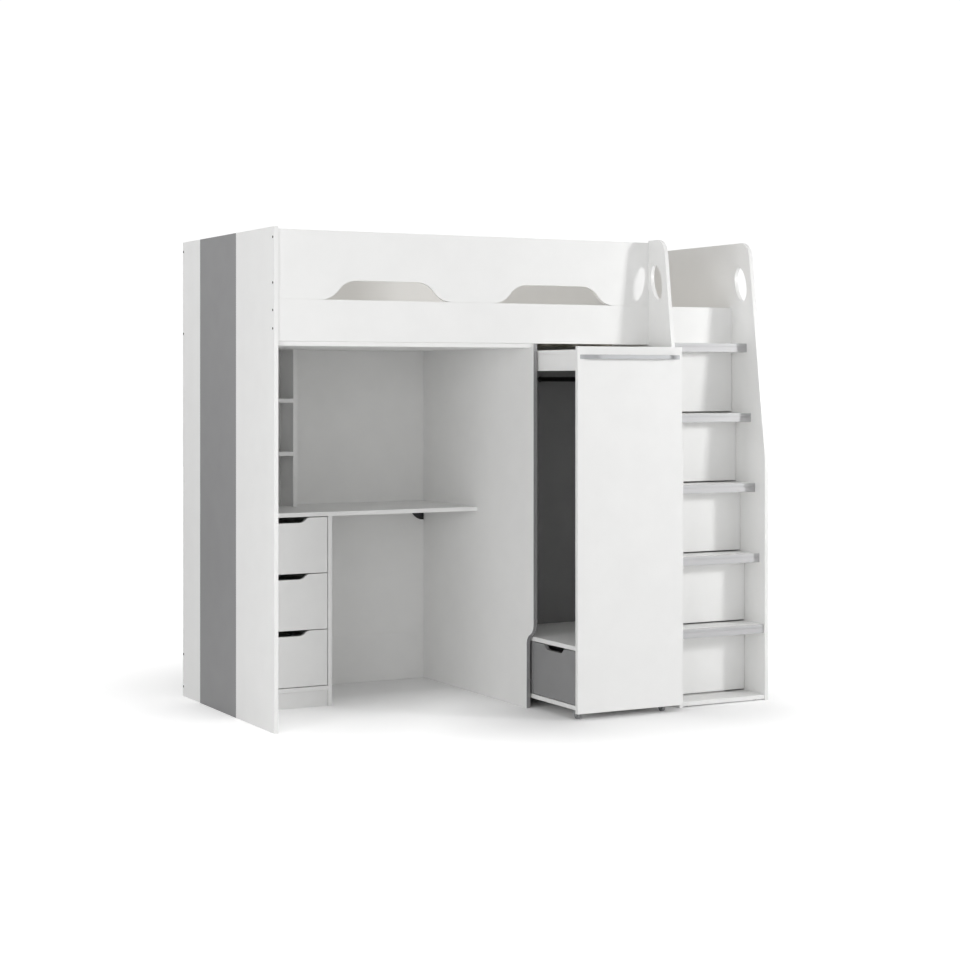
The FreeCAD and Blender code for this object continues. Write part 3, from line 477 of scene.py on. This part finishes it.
def planed_pine(look, along):
    """Planed pine, unfinished: dull and warm, with growth bands along the piece and a few knots.

    Bands are about 6 mm apart and run for about 0.5 m. Knots lie in cells 0.3 m long and 0.05 m
    wide.
    """
    material, tree, shader, place = blank("planed_pine_along_" + along)
    fine, coarse = 1 / 0.006, 1 / 0.5
    across_knots, along_knots = 1 / 0.05, 1 / 0.3
    if along == "x":
        stretch = (coarse, fine, fine)
        knot_cells = (along_knots, across_knots, across_knots)
    else:
        stretch = (fine, coarse, fine)
        knot_cells = (across_knots, along_knots, across_knots)
    bands_at = add(tree, "ShaderNodeMapping", {"Vector": place, "Scale": stretch})
    knots_at = add(tree, "ShaderNodeMapping", {"Vector": place, "Scale": knot_cells})
    bands = noise(tree, bands_at.outputs[0], width=1.0, detail=4.0)
    knots = add(tree, "ShaderNodeTexVoronoi", {"Vector": knots_at.outputs[0], "Scale": 0.8})
    amount = spread(tree, bands, 0.0, 1.0, start=0.35, stop=0.68)
    wood = two_tone(tree, amount, look.pale, look.deep)
    near_knot = spread(tree, knots.outputs["Distance"], 1.0, 0.0, start=0.03, stop=0.09)
    tree.links.new(two_tone(tree, near_knot, wood, look.knot), shader.inputs["Base Color"])
    roughness = spread(tree, bands, look.roughness - 0.06, look.roughness + 0.06)
    tree.links.new(roughness, shader.inputs["Roughness"])
    raised(tree, shader, bands, strength=0.25, height=0.0003)
    return material


def anodised_aluminium(look):
    """Extruded aluminium, brushed and anodised: a pale matt grey with fine lines along it.

    The lines are about 0.2 mm, too fine for the render, so they are drawn 2.5 mm apart.
    """
    material, tree, shader, place = blank("anodised_aluminium", Metallic=1.0)
    stretch = (1 / 0.15, 1 / 0.0025, 1 / 0.0025)
    lines_at = add(tree, "ShaderNodeMapping", {"Vector": place, "Scale": stretch})
    lines = noise(tree, lines_at.outputs[0], width=1.0)
    mottled(tree, shader, lines, scaled(look.aluminium, 0.9), look.aluminium, smooth=0.6, rough=0.7)
    raised(tree, shader, lines, strength=0.1, height=0.0001)
    return material


def matt_chrome(look):
    """Chrome plate over a blasted base: a matt grey that reflects only soft lights and darks.

    The blasting is about 0.1 mm, too fine for the render, so it is drawn 1.5 mm wide.
    """
    material, tree, shader, place = blank("matt_chrome_plate", Metallic=1.0)
    specks = noise(tree, place, width=0.0015)
    mottled(tree, shader, specks, scaled(look.chrome, 0.94), look.chrome, smooth=0.58, rough=0.66)
    return material


def zinc_plate(look, name, rough):
    """Zinc-plated steel: a cool grey, clouded in patches about 8 mm wide, duller than chrome."""
    material, tree, shader, place = blank(name, Metallic=1.0)
    patches = noise(tree, place, width=0.008, detail=3.0)
    mottled(tree, shader, patches, look.zinc_deep, look.zinc, rough - 0.06, rough + 0.06)
    return material


def blackened_steel(look):
    """Blackened steel: nearly black, oiled, with slight wear in patches about 1 mm wide."""
    material, tree, shader, place = blank("blackened_steel", Metallic=1.0)
    wear = noise(tree, place, width=0.001)
    mottled(tree, shader, wear, look.screw, scaled(look.screw, 1.8), smooth=0.38, rough=0.52)
    return material


def moulded_plastic(name, tone, rough):
    """Moulded plastic from a spark-eroded mould: one colour, a dull sheen and a fine grain.

    The grain is about 0.3 mm, too fine for the render, so it is drawn 1.5 mm wide.
    """
    material, tree, shader, place = blank(name)
    grain = noise(tree, place, width=0.0015)
    mottled(tree, shader, grain, scaled(tone, 0.93), tone, rough - 0.05, rough + 0.05)
    raised(tree, shader, grain, strength=0.15, height=0.0001)
    return material


# Pieces

# Rounding of the edges that have no setting of their own
FINE_EDGE = 0.2 * MM
ROLLED_EDGE = 0.35 * MM
PLAIN_EDGE = 0.4 * MM
SAWN_EDGE = 0.5 * MM
GUIDE_EDGE = 1.5 * MM
# Points along one S-curve of the handle
HANDLE_STEPS = 25
# A rail socket: its flange's edge and its chamfer's start, as shares of its half length, then its
# body's share of the flange's radius and its mouth's share of the body's
FLANGE_EDGE, CHAMFER_START = -0.4, 0.8
SOCKET_BODY, SOCKET_MOUTH = 0.92, 0.9
# A wheel: from its tread to the dish in its side, in shoulders, and its hub's radius, in bores
DISH_START = 1.6
HUB_SIZE = 1.9
# A screw head: points round it and rings, its flat rim and recess as shares of its height, the
# recess's reach and fade as shares of its radius, and the fade of an arm as a share of its width
HEAD_STEPS, HEAD_RINGS = 64, 22
HEAD_RIM, RECESS_DEPTH = 0.25, 0.7
RECESS_REACH, REACH_FADE = 0.66, 0.12
ARM_FADE = 0.4


def bars(node, along, radius):
    """Grids of a node's solids as straight bars along an axis, with their long edges rounded."""
    across = 1 - along
    grids = []
    for low, high in solids(node):
        size = high - low
        profile = eased(rectangle(size[across], size[2]), radius)
        path = [low, low + AXES[along] * size[along]]
        grids.append(carried(profile, path, AXES[across], AXES[2]))
    return grids


class BED_OT_boards(bpy.types.Operator):
    """Gives every board whole faces, eased edges and its own facing"""

    bl_idname = "bed.boards"
    bl_label = "Boards"

    def execute(self, context):
        look = context.scene.bed_boards
        rough = (look.face_roughness, look.edging_roughness)
        white = (look.white, look.white_deep)
        grey = (look.grey, look.grey_deep)
        foil = (look.foil, look.foil_deep)
        facings = {
            "white_board": melamine("white_melamine_board", *white, look.white, *rough),
            "grey_board": melamine("grey_melamine_board", *grey, look.grey, *rough),
            "drawer_board": melamine("foil_wrapped_board", *foil, look.foil, *rough),
        }
        # The desk partition's edging strips take the grey board's tone: painted shade, darkening
        # its front edge to the door's shadow
        shade_edged = melamine("white_melamine_board_grey_edged", *white, look.grey, *rough)
        for node, slot in SLOT_OF.items():
            if slot in facings:
                mesh = whole_face_copy(node)
                mark_edging(mesh, look.edging_width)
                facing = shade_edged if node == "desk_partition" else facings[slot]
                show(mesh, facing, [node], look.edge_radius)
        return {"FINISHED"}


class BED_OT_mattress_base(bpy.types.Operator):
    """Makes the pine slats and the two battens that carry them"""

    bl_idname = "bed.mattress_base"
    bl_label = "Mattress base"

    def execute(self, context):
        look = context.scene.bed_wood
        slats = grid_mesh("pine_slats", bars("mattress_slats", 1, look.slat_radius))
        show(slats, planed_pine(look, "y"), ["mattress_slats"], SAWN_EDGE)
        battens = grid_mesh("pine_battens", bars("slat_battens", 0, look.batten_radius))
        show(battens, planed_pine(look, "x"), ["slat_battens"], SAWN_EDGE)
        return {"FINISHED"}


class BED_OT_nosings(bpy.types.Operator):
    """Makes the grooved aluminium strip on the front of each tread"""

    bl_idname = "bed.nosings"
    bl_label = "Stair nosings"

    def execute(self, context):
        look = context.scene.bed_metal
        strips = []
        for low, high in solids("tread_nosings"):
            size = high - low
            groove_top = size[2] - look.groove_drop
            groove_low = groove_top - look.groove_width
            corners = [
                (0.0, 0.0),
                (size[1], 0.0),
                (size[1], size[2]),
                (0.0, size[2]),
                (0.0, groove_top),
                (look.groove_depth, groove_top),
                (look.groove_depth, groove_low),
                (0.0, groove_low),
            ]
            outer = look.nosing_radius
            radii = [outer, FINE_EDGE, FINE_EDGE, outer] + [FINE_EDGE] * 4
            path = [low, low + AXES[0] * size[0]]
            strips.append(carried(eased(corners, radii), path, AXES[1], AXES[2]))
        show(grid_mesh("grooved_nosings", strips), anodised_aluminium(look), ["tread_nosings"])
        return {"FINISHED"}


def ogee(run, along, rise):
    """An S-curve of two equal arcs, flat at both ends.

    y = R - sqrt(R^2 - x^2) to half way, then the same turned about the middle, with
    R = (along^2 + rise^2) / (4 rise).
    """
    radius = (along**2 + rise**2) / (4 * rise)
    short = np.minimum(run, along - run)
    drop = radius - np.sqrt(radius**2 - short**2)
    return np.where(run < along / 2, drop, rise - drop)


class BED_OT_handle(bpy.types.Operator):
    """Makes the chrome bow handle of the wardrobe door"""

    bl_idname = "bed.handle"
    bl_label = "Door handle"

    def execute(self, context):
        look = context.scene.bed_metal
        low, high = (np.array(corner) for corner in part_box("wardrobe_handle"))
        span, rise, tall = high - low
        t = np.linspace(0.0, 1.0, HANDLE_STEPS)
        outer_length = look.handle_curve
        inner_length = look.handle_curve - look.handle_foot
        outer_run = outer_length * t
        inner_run = inner_length * t
        outer_rise = rise - ogee(outer_run, outer_length, rise)
        inner_rise = rise - ogee(inner_run, inner_length, rise - look.handle_bar)
        outer = np.stack([outer_run, outer_rise], axis=1)
        inner = np.stack([inner_run + look.handle_foot, inner_rise], axis=1)
        mirror = np.array([-1.0, 1.0])
        shift = np.array([span, 0.0])
        outer = np.concatenate([outer, (outer * mirror + shift)[::-1]])
        inner = np.concatenate([inner, (inner * mirror + shift)[::-1]])
        section = eased(rectangle(look.handle_bar, tall), look.handle_radius)
        part = section[None, :, 0:1] / look.handle_bar
        plan = outer[:, None] * (1 - part) + inner[:, None] * part
        height = np.broadcast_to(section[None, :, 1:2], (*plan.shape[:2], 1))
        points = np.concatenate([plan, height], axis=2) + low
        show(grid_mesh("bow_handle", [points]), matt_chrome(look), ["wardrobe_handle"])
        return {"FINISHED"}


class BED_OT_hanging_rail(bpy.types.Operator):
    """Makes the wardrobe's hanging rail and its two end sockets"""

    bl_idname = "bed.hanging_rail"
    bl_label = "Hanging rail"

    def execute(self, context):
        steps = context.scene.bed_plastic.round_steps
        low, high = (np.array(corner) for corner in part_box("hanging_rail"))
        centre = (low + high) / 2
        centre[1] = low[1]
        radius = (high[0] - low[0]) / 2
        reach = high[1] - low[1]
        outline = np.array([(0.0, 0.0), (0.0, radius), (reach, radius), (reach, 0.0)])
        tube = turned_mesh("rail_tube", [turned(outline, centre, 1, steps)], closed=False)
        show(tube, blackened_steel(context.scene.bed_metal), ["hanging_rail"])
        sockets = []
        for low, high in solids("rail_sockets"):
            middle = (low + high) / 2
            half = (high[1] - low[1]) / 2
            wide = (high[0] - low[0]) / 2
            inward = 1.0 if middle[1] < centre[1] + reach / 2 else -1.0
            body = wide * SOCKET_BODY
            shape = [
                (-half, 0.0),
                (-half, wide),
                (half * FLANGE_EDGE, wide),
                (0.0, body),
                (half * CHAMFER_START, body),
                (half, body * SOCKET_MOUTH),
                (half, 0.0),
            ]
            outline = np.array(shape) * (inward, 1.0)
            sockets.append(turned(outline, middle, 1, steps))
        tone = context.scene.bed_plastic.black
        black = moulded_plastic("moulded_black_plastic", tone, rough=0.42)
        mesh = turned_mesh("rail_sockets_turned", sockets, closed=False)
        show(mesh, black, ["rail_sockets"])
        return {"FINISHED"}


class BED_OT_runners(bpy.types.Operator):
    """Makes the rolled steel channels that the drawers slide on"""

    bl_idname = "bed.runners"
    bl_label = "Drawer runners"

    def execute(self, context):
        look = context.scene.bed_metal
        steel = zinc_plate(look, "zinc_plated_runner_steel", rough=0.36)
        fixed = ["pedestal_runners", "wardrobe_runners"]
        moving = [node for node in SLOT_OF if SLOT_OF[node] == "runner_steel" and node not in fixed]
        for node in fixed + moving:
            boxes = solids(node)
            size = boxes[0][1] - boxes[0][0]
            narrow = 0 if size[0] < size[1] else 1
            middle = np.mean([low[narrow] + high[narrow] for low, high in boxes]) / 2
            channels = []
            for low, high in boxes:
                size = high - low
                # The fixed channels open towards the drawer and its own open away from it
                side = 1.0 if (low[narrow] < middle) == (node in fixed) else -1.0
                deep, tall, wall, lip = size[narrow], size[2], look.wall, look.lip
                corners = [
                    (0.0, 0.0),
                    (deep, 0.0),
                    (deep, lip),
                    (deep - wall, lip),
                    (deep - wall, wall),
                    (wall, wall),
                    (wall, tall - wall),
                    (deep - wall, tall - wall),
                    (deep - wall, tall - lip),
                    (deep, tall - lip),
                    (deep, tall),
                    (0.0, tall),
                ]
                start = low.copy()
                start[narrow] = low[narrow] if side > 0 else high[narrow]
                path = [start, start + AXES[1 - narrow] * size[1 - narrow]]
                outline = eased(corners, ROLLED_EDGE)
                channels.append(carried(outline, path, AXES[narrow] * side, AXES[2]))
            show(grid_mesh(node + "_channels", channels), steel, [node])
        return {"FINISHED"}


class BED_OT_castors(bpy.types.Operator):
    """Makes the wardrobe's castors: zinc-plated forks and moulded wheels"""

    bl_idname = "bed.castors"
    bl_label = "Castors"

    def execute(self, context):
        look = context.scene.bed_plastic
        steel = zinc_plate(context.scene.bed_metal, "zinc_plated_fork_steel", rough=0.42)
        show(whole_face_copy("castor_forks"), steel, ["castor_forks"], PLAIN_EDGE)
        grey = moulded_plastic("moulded_grey_plastic", look.grey, rough=0.48)
        for node in ("front_wheels", "rear_wheels"):
            wheels = []
            for low, high in solids(node):
                centre = (low + high) / 2
                half = (high[0] - low[0]) / 2
                radius = (high - low)[1:].min() / 2
                rim = radius - look.shoulder * DISH_START
                hub = look.bore * HUB_SIZE
                corners = [
                    (-half, look.bore),
                    (half, look.bore),
                    (half, hub),
                    (half - look.hub_recess, hub),
                    (half - look.hub_recess, rim),
                    (half, rim),
                    (half, radius),
                    (-half, radius),
                    (-half, rim),
                    (look.hub_recess - half, rim),
                    (look.hub_recess - half, hub),
                    (-half, hub),
                ]
                radii = [PLAIN_EDGE] * 6 + [look.shoulder] * 2 + [PLAIN_EDGE] * 4
                wheels.append(turned(eased(corners, radii), centre, 0, look.round_steps))
            show(turned_mesh(node + "_turned", wheels, closed=True), grey, [node])
        return {"FINISHED"}


class BED_OT_screws(bpy.types.Operator):
    """Makes the domed, cross-recessed screw heads on the end panels"""

    bl_idname = "bed.screws"
    bl_label = "End screws"

    def execute(self, context):
        look = context.scene.bed_metal
        radius, tall, arm = look.screw_radius, look.screw_height, look.recess_width / 2
        turn = np.linspace(0.0, 2 * math.pi, HEAD_STEPS, endpoint=False)[:, None]
        out = np.linspace(1.0, 0.0, HEAD_RINGS)[None, :] * radius
        # The head's height is a dome, tall * sqrt(1 - (r / R)^2) on a small flat rim, less a cross
        # whose arms fade out at two thirds of the radius
        arch = np.sqrt(np.clip(1 - (out / radius) ** 2, 0.0, 1.0))
        dome = tall * (HEAD_RIM + (1 - HEAD_RIM) * arch)
        nearest = np.minimum(np.abs(out * np.cos(turn)), np.abs(out * np.sin(turn)))
        inside_arm = np.clip((arm - nearest) / (arm * ARM_FADE), 0.0, 1.0)
        inside_reach = np.clip((radius * RECESS_REACH - out) / (radius * REACH_FADE), 0.0, 1.0)
        height = dome - tall * RECESS_DEPTH * inside_arm * inside_reach
        wide = np.broadcast_to(out, height.shape)
        rim = np.full((len(turn), 1), radius)
        foot = np.zeros((len(turn), 1))
        height = np.concatenate([foot, foot, height], axis=1)
        wide = np.concatenate([foot, rim, wide], axis=1)
        heads = []
        for low, high in solids("panel_screws"):
            centre = (low + high) / 2
            outward = -1.0 if centre[0] < 0 else 1.0
            face = low[0] + tall if outward < 0 else high[0] - tall
            x = face + outward * height
            y = centre[1] + wide * np.cos(turn)
            z = centre[2] + wide * np.sin(turn)
            heads.append(np.stack([x, y, z], axis=-1))
        mesh = turned_mesh("screw_heads", heads, closed=False)
        show(mesh, blackened_steel(look), ["panel_screws"], sharp=40.0)
        return {"FINISHED"}


class BED_OT_glides(bpy.types.Operator):
    """Makes the stair's floor glides, the wardrobe's guide strips and the dark sheet of painted
    shade behind the cable notch
    """

    bl_idname = "bed.glides"
    bl_label = "Glides and guides"

    def execute(self, context):
        look = context.scene.bed_plastic
        discs = []
        for low, high in solids("floor_glides"):
            centre = (low + high) / 2
            centre[2] = low[2]
            radius = (high[0] - low[0]) / 2
            tall = high[2] - low[2]
            corners = [(0.0, 0.0), (0.0, radius), (tall, radius), (tall, 0.0)]
            radii = [0.0, look.glide_radius, FINE_EDGE, 0.0]
            discs.append(turned(eased(corners, radii), centre, 2, look.round_steps))
        black = moulded_plastic("moulded_black_glide", look.black, rough=0.5)
        show(turned_mesh("turned_glides", discs, closed=True), black, ["floor_glides"])
        white = moulded_plastic("extruded_white_plastic", look.white, rough=0.38)
        show(whole_face_copy("wardrobe_guides"), white, ["wardrobe_guides"], GUIDE_EDGE)
        # The dark sheet behind the cable notch is painted shade, put where there is only shadow
        shade_sheet = moulded_plastic("moulded_dark_cover", look.shade_sheet, rough=0.5)
        show(whole_face_copy("cable_cover"), shade_sheet, ["cable_cover"], PLAIN_EDGE)
        return {"FINISHED"}


# Stage

# Studio lights: the setting that holds the power, place, point it is turned to and side, in metres
LIGHTS = (
    ("key", (3.38, -3.7, 1.85), (0.3, 0.0, 0.9), 0.55),
    ("front_left", (-6.0, -6.0, 1.5), (0.0, 0.0, 0.9), 2.5),
    ("front_right", (3.5, -6.5, 1.5), (0.0, 0.0, 0.9), 2.0),
    ("left_end", (-3.2, -1.6, 1.3), (-0.9, -0.3, 0.9), 1.2),
    ("left_back", (-2.8, 1.4, 2.6), (-0.98, 0.3, 1.3), 1.2),
    ("overhead", (0.0, 0.0, 5.5), (0.0, 0.0, 0.9), 6.0),
)
# Rectangles of the floor in the bed's shade, under the desk and under the wardrobe: lowest and
# highest corner, and how far outside the floor's painted light makes it seen white, in metres
SHADED = (
    ((-0.5, 0.34), (0.1, 0.6), 2.33),
    ((0.12, -0.5), (0.5, 0.3), 1.7),
)
# How bright white is seen
SEEN_WHITE = 1.05
WHITE = (1.0, 1.0, 1.0, 1.0)
# Level camera: its place in metres, the way it faces along x and y, and its sensor in millimetres;
# then, in pixels, its picture's side, its focal length and its horizon's distance from the top
CAMERA_PLACE = (-3.567, -6.7005, 1.232)
CAMERA_HEADING = (0.4702, 0.8825)
SENSOR = 36.0
PICTURE_SIDE = 960.0
FOCAL_LENGTH = 1969.0
HORIZON = 380.0


def area_light(name, watts, place, aim, side):
    """A soft square light at a place, turned to a point."""
    light = bpy.data.lights.new(name, "AREA")
    light.energy = watts
    light.shape = "SQUARE"
    light.size = side
    lamp = bpy.data.objects.new(name, light)
    lamp.location = place
    lamp.rotation_euler = (Vector(aim) - lamp.location).to_track_quat("-Z", "Y").to_euler()
    bpy.context.scene.collection.objects.link(lamp)


def outside(tree, place, low, high):
    """How far a point of the floor lies outside a rectangle.

    It is the length of max(|point - middle| - half, 0).
    """
    low, high = np.array((*low, 0.0)), np.array((*high, 0.0))
    across = {0: place, 1: tuple((low + high) / 2)}
    folded = add(tree, "ShaderNodeVectorMath", across, operation="SUBTRACT").outputs[0]
    folded = add(tree, "ShaderNodeVectorMath", {0: folded}, operation="ABSOLUTE").outputs[0]
    beyond = {0: folded, 1: tuple((high - low) / 2)}
    beyond = add(tree, "ShaderNodeVectorMath", beyond, operation="SUBTRACT").outputs[0]
    beyond = add(tree, "ShaderNodeVectorMath", {0: beyond}, operation="MAXIMUM").outputs[0]
    return add(tree, "ShaderNodeVectorMath", {0: beyond}, operation="LENGTH").outputs["Value"]


def studio_floor(look):
    """Painted studio floor: matt and pale, its rolled texture about 2 mm, drawn 8 mm wide.

    Away from the bed it glows for the camera alone: painted light that grows with distance
    from the shaded rectangles up to the surround's white.
    """
    half = look.floor_size / 2
    corners = [(-half, -half, 0.0), (-half, half, 0.0), (half, -half, 0.0), (half, half, 0.0)]
    mesh = bpy.data.meshes.new("studio_floor")
    mesh.from_pydata(corners, [], [(0, 2, 3, 1)])
    floor = bpy.data.objects.new("studio_floor", mesh)
    bpy.context.scene.collection.objects.link(floor)
    paint, tree, shader, place = blank("painted_floor", Roughness=0.9)
    roll = noise(tree, place, width=0.008)
    tone = two_tone(tree, roll, scaled(look.floor, 0.985), look.floor)
    fades = [
        spread(tree, outside(tree, place, low, high), 0.0, SEEN_WHITE, 0.0, white_from)
        for low, high, white_from in SHADED
    ]
    fade = add(tree, "ShaderNodeMath", dict(enumerate(fades)), operation="MINIMUM").outputs[0]
    # Painted light: the floor glows for camera rays only, not at all in the shaded rectangles and
    # more with distance outside them
    seen = add(tree, "ShaderNodeLightPath").outputs["Is Camera Ray"]
    painted_glow = add(tree, "ShaderNodeMath", {0: fade, 1: seen}, operation="MULTIPLY").outputs[0]
    tree.links.new(tone, shader.inputs["Base Color"])
    tree.links.new(painted_glow, shader.inputs["Emission Strength"])
    shader.inputs["Emission Color"].default_value = WHITE
    mesh.materials.append(paint)


def white_surround(look):
    """The surround is seen white, and lights the bed from front and back.

    Its light is strength * y^2 along direction (x, y, z).
    """
    world = bpy.data.worlds.new("white_surround")
    bpy.context.scene.world = world
    world.use_nodes = True
    tree = world.node_tree
    backdrop = tree.nodes["Background"]
    backdrop.inputs["Color"].default_value = WHITE
    ray = add(tree, "ShaderNodeTexCoord").outputs["Generated"]
    along = add(tree, "ShaderNodeSeparateXYZ", {0: ray}).outputs["Y"]
    square = add(tree, "ShaderNodeMath", {0: along, 1: along}, operation="MULTIPLY").outputs[0]
    lit = spread(tree, square, 0.0, look.surround, 0.0, 1.0)
    seen = add(tree, "ShaderNodeLightPath").outputs["Is Camera Ray"]
    strength = add(tree, "ShaderNodeMix", {0: seen, 2: lit, 3: SEEN_WHITE})
    tree.links.new(strength.outputs[0], backdrop.inputs["Strength"])


def photo_camera():
    """The level camera, which looks along its heading and has its horizon above the middle."""
    data = bpy.data.cameras.new("photo_camera")
    data.sensor_width = SENSOR
    data.lens = SENSOR * FOCAL_LENGTH / PICTURE_SIDE
    data.shift_y = (HORIZON - PICTURE_SIDE / 2) / PICTURE_SIDE
    camera = bpy.data.objects.new("photo_camera", data)
    camera.location = CAMERA_PLACE
    camera.rotation_euler = (math.pi / 2, 0.0, -math.atan2(*CAMERA_HEADING))
    bpy.context.scene.collection.objects.link(camera)
    bpy.context.scene.camera = camera


class BED_OT_stage(bpy.types.Operator):
    """Sets up the pale floor, the white surround, the lights and the camera"""

    bl_idname = "bed.stage"
    bl_label = "Stage"

    def execute(self, context):
        look = context.scene.bed_stage
        studio_floor(look)
        white_surround(look)
        for name, place, aim, side in LIGHTS:
            area_light(name, getattr(look, name), place, aim, side)
        photo_camera()
        context.scene.view_settings.view_transform = "Standard"
        return {"FINISHED"}


class BED_PT_looks(bpy.types.Panel):
    """Lists the bed's pieces in the sidebar"""

    bl_label = "High sleeper bed"
    bl_idname = "BED_PT_looks"
    bl_space_type = "VIEW_3D"
    bl_region_type = "UI"
    bl_category = "Bed"

    def draw(self, context):
        for step in STEPS:
            self.layout.operator(step.bl_idname)
        for group, settings in SETTINGS.items():
            box = self.layout.box()
            box.label(text=settings.__name__)
            for name in settings.__annotations__:
                box.prop(getattr(context.scene, group), name)


SETTINGS = {
    "bed_boards": BoardLook,
    "bed_wood": WoodLook,
    "bed_metal": MetalLook,
    "bed_plastic": PlasticLook,
    "bed_stage": StageLook,
}
STEPS = (
    BED_OT_boards,
    BED_OT_mattress_base,
    BED_OT_nosings,
    BED_OT_handle,
    BED_OT_hanging_rail,
    BED_OT_runners,
    BED_OT_castors,
    BED_OT_screws,
    BED_OT_glides,
    BED_OT_stage,
)
KINDS = (*SETTINGS.values(), *STEPS, BED_PT_looks)


def register():
    for kind in KINDS:
        bpy.utils.register_class(kind)
    for group, settings in SETTINGS.items():
        setattr(bpy.types.Scene, group, PointerProperty(type=settings))


def unregister():
    for group in SETTINGS:
        delattr(bpy.types.Scene, group)
    for kind in reversed(KINDS):
        bpy.utils.unregister_class(kind)


def main():
    register()
    bpy.ops.bed.boards()
    bpy.ops.bed.mattress_base()
    bpy.ops.bed.nosings()
    bpy.ops.bed.handle()
    bpy.ops.bed.hanging_rail()
    bpy.ops.bed.runners()
    bpy.ops.bed.castors()
    bpy.ops.bed.screws()
    bpy.ops.bed.glides()
    bpy.ops.bed.stage()


if __name__ == "__main__":
    main()
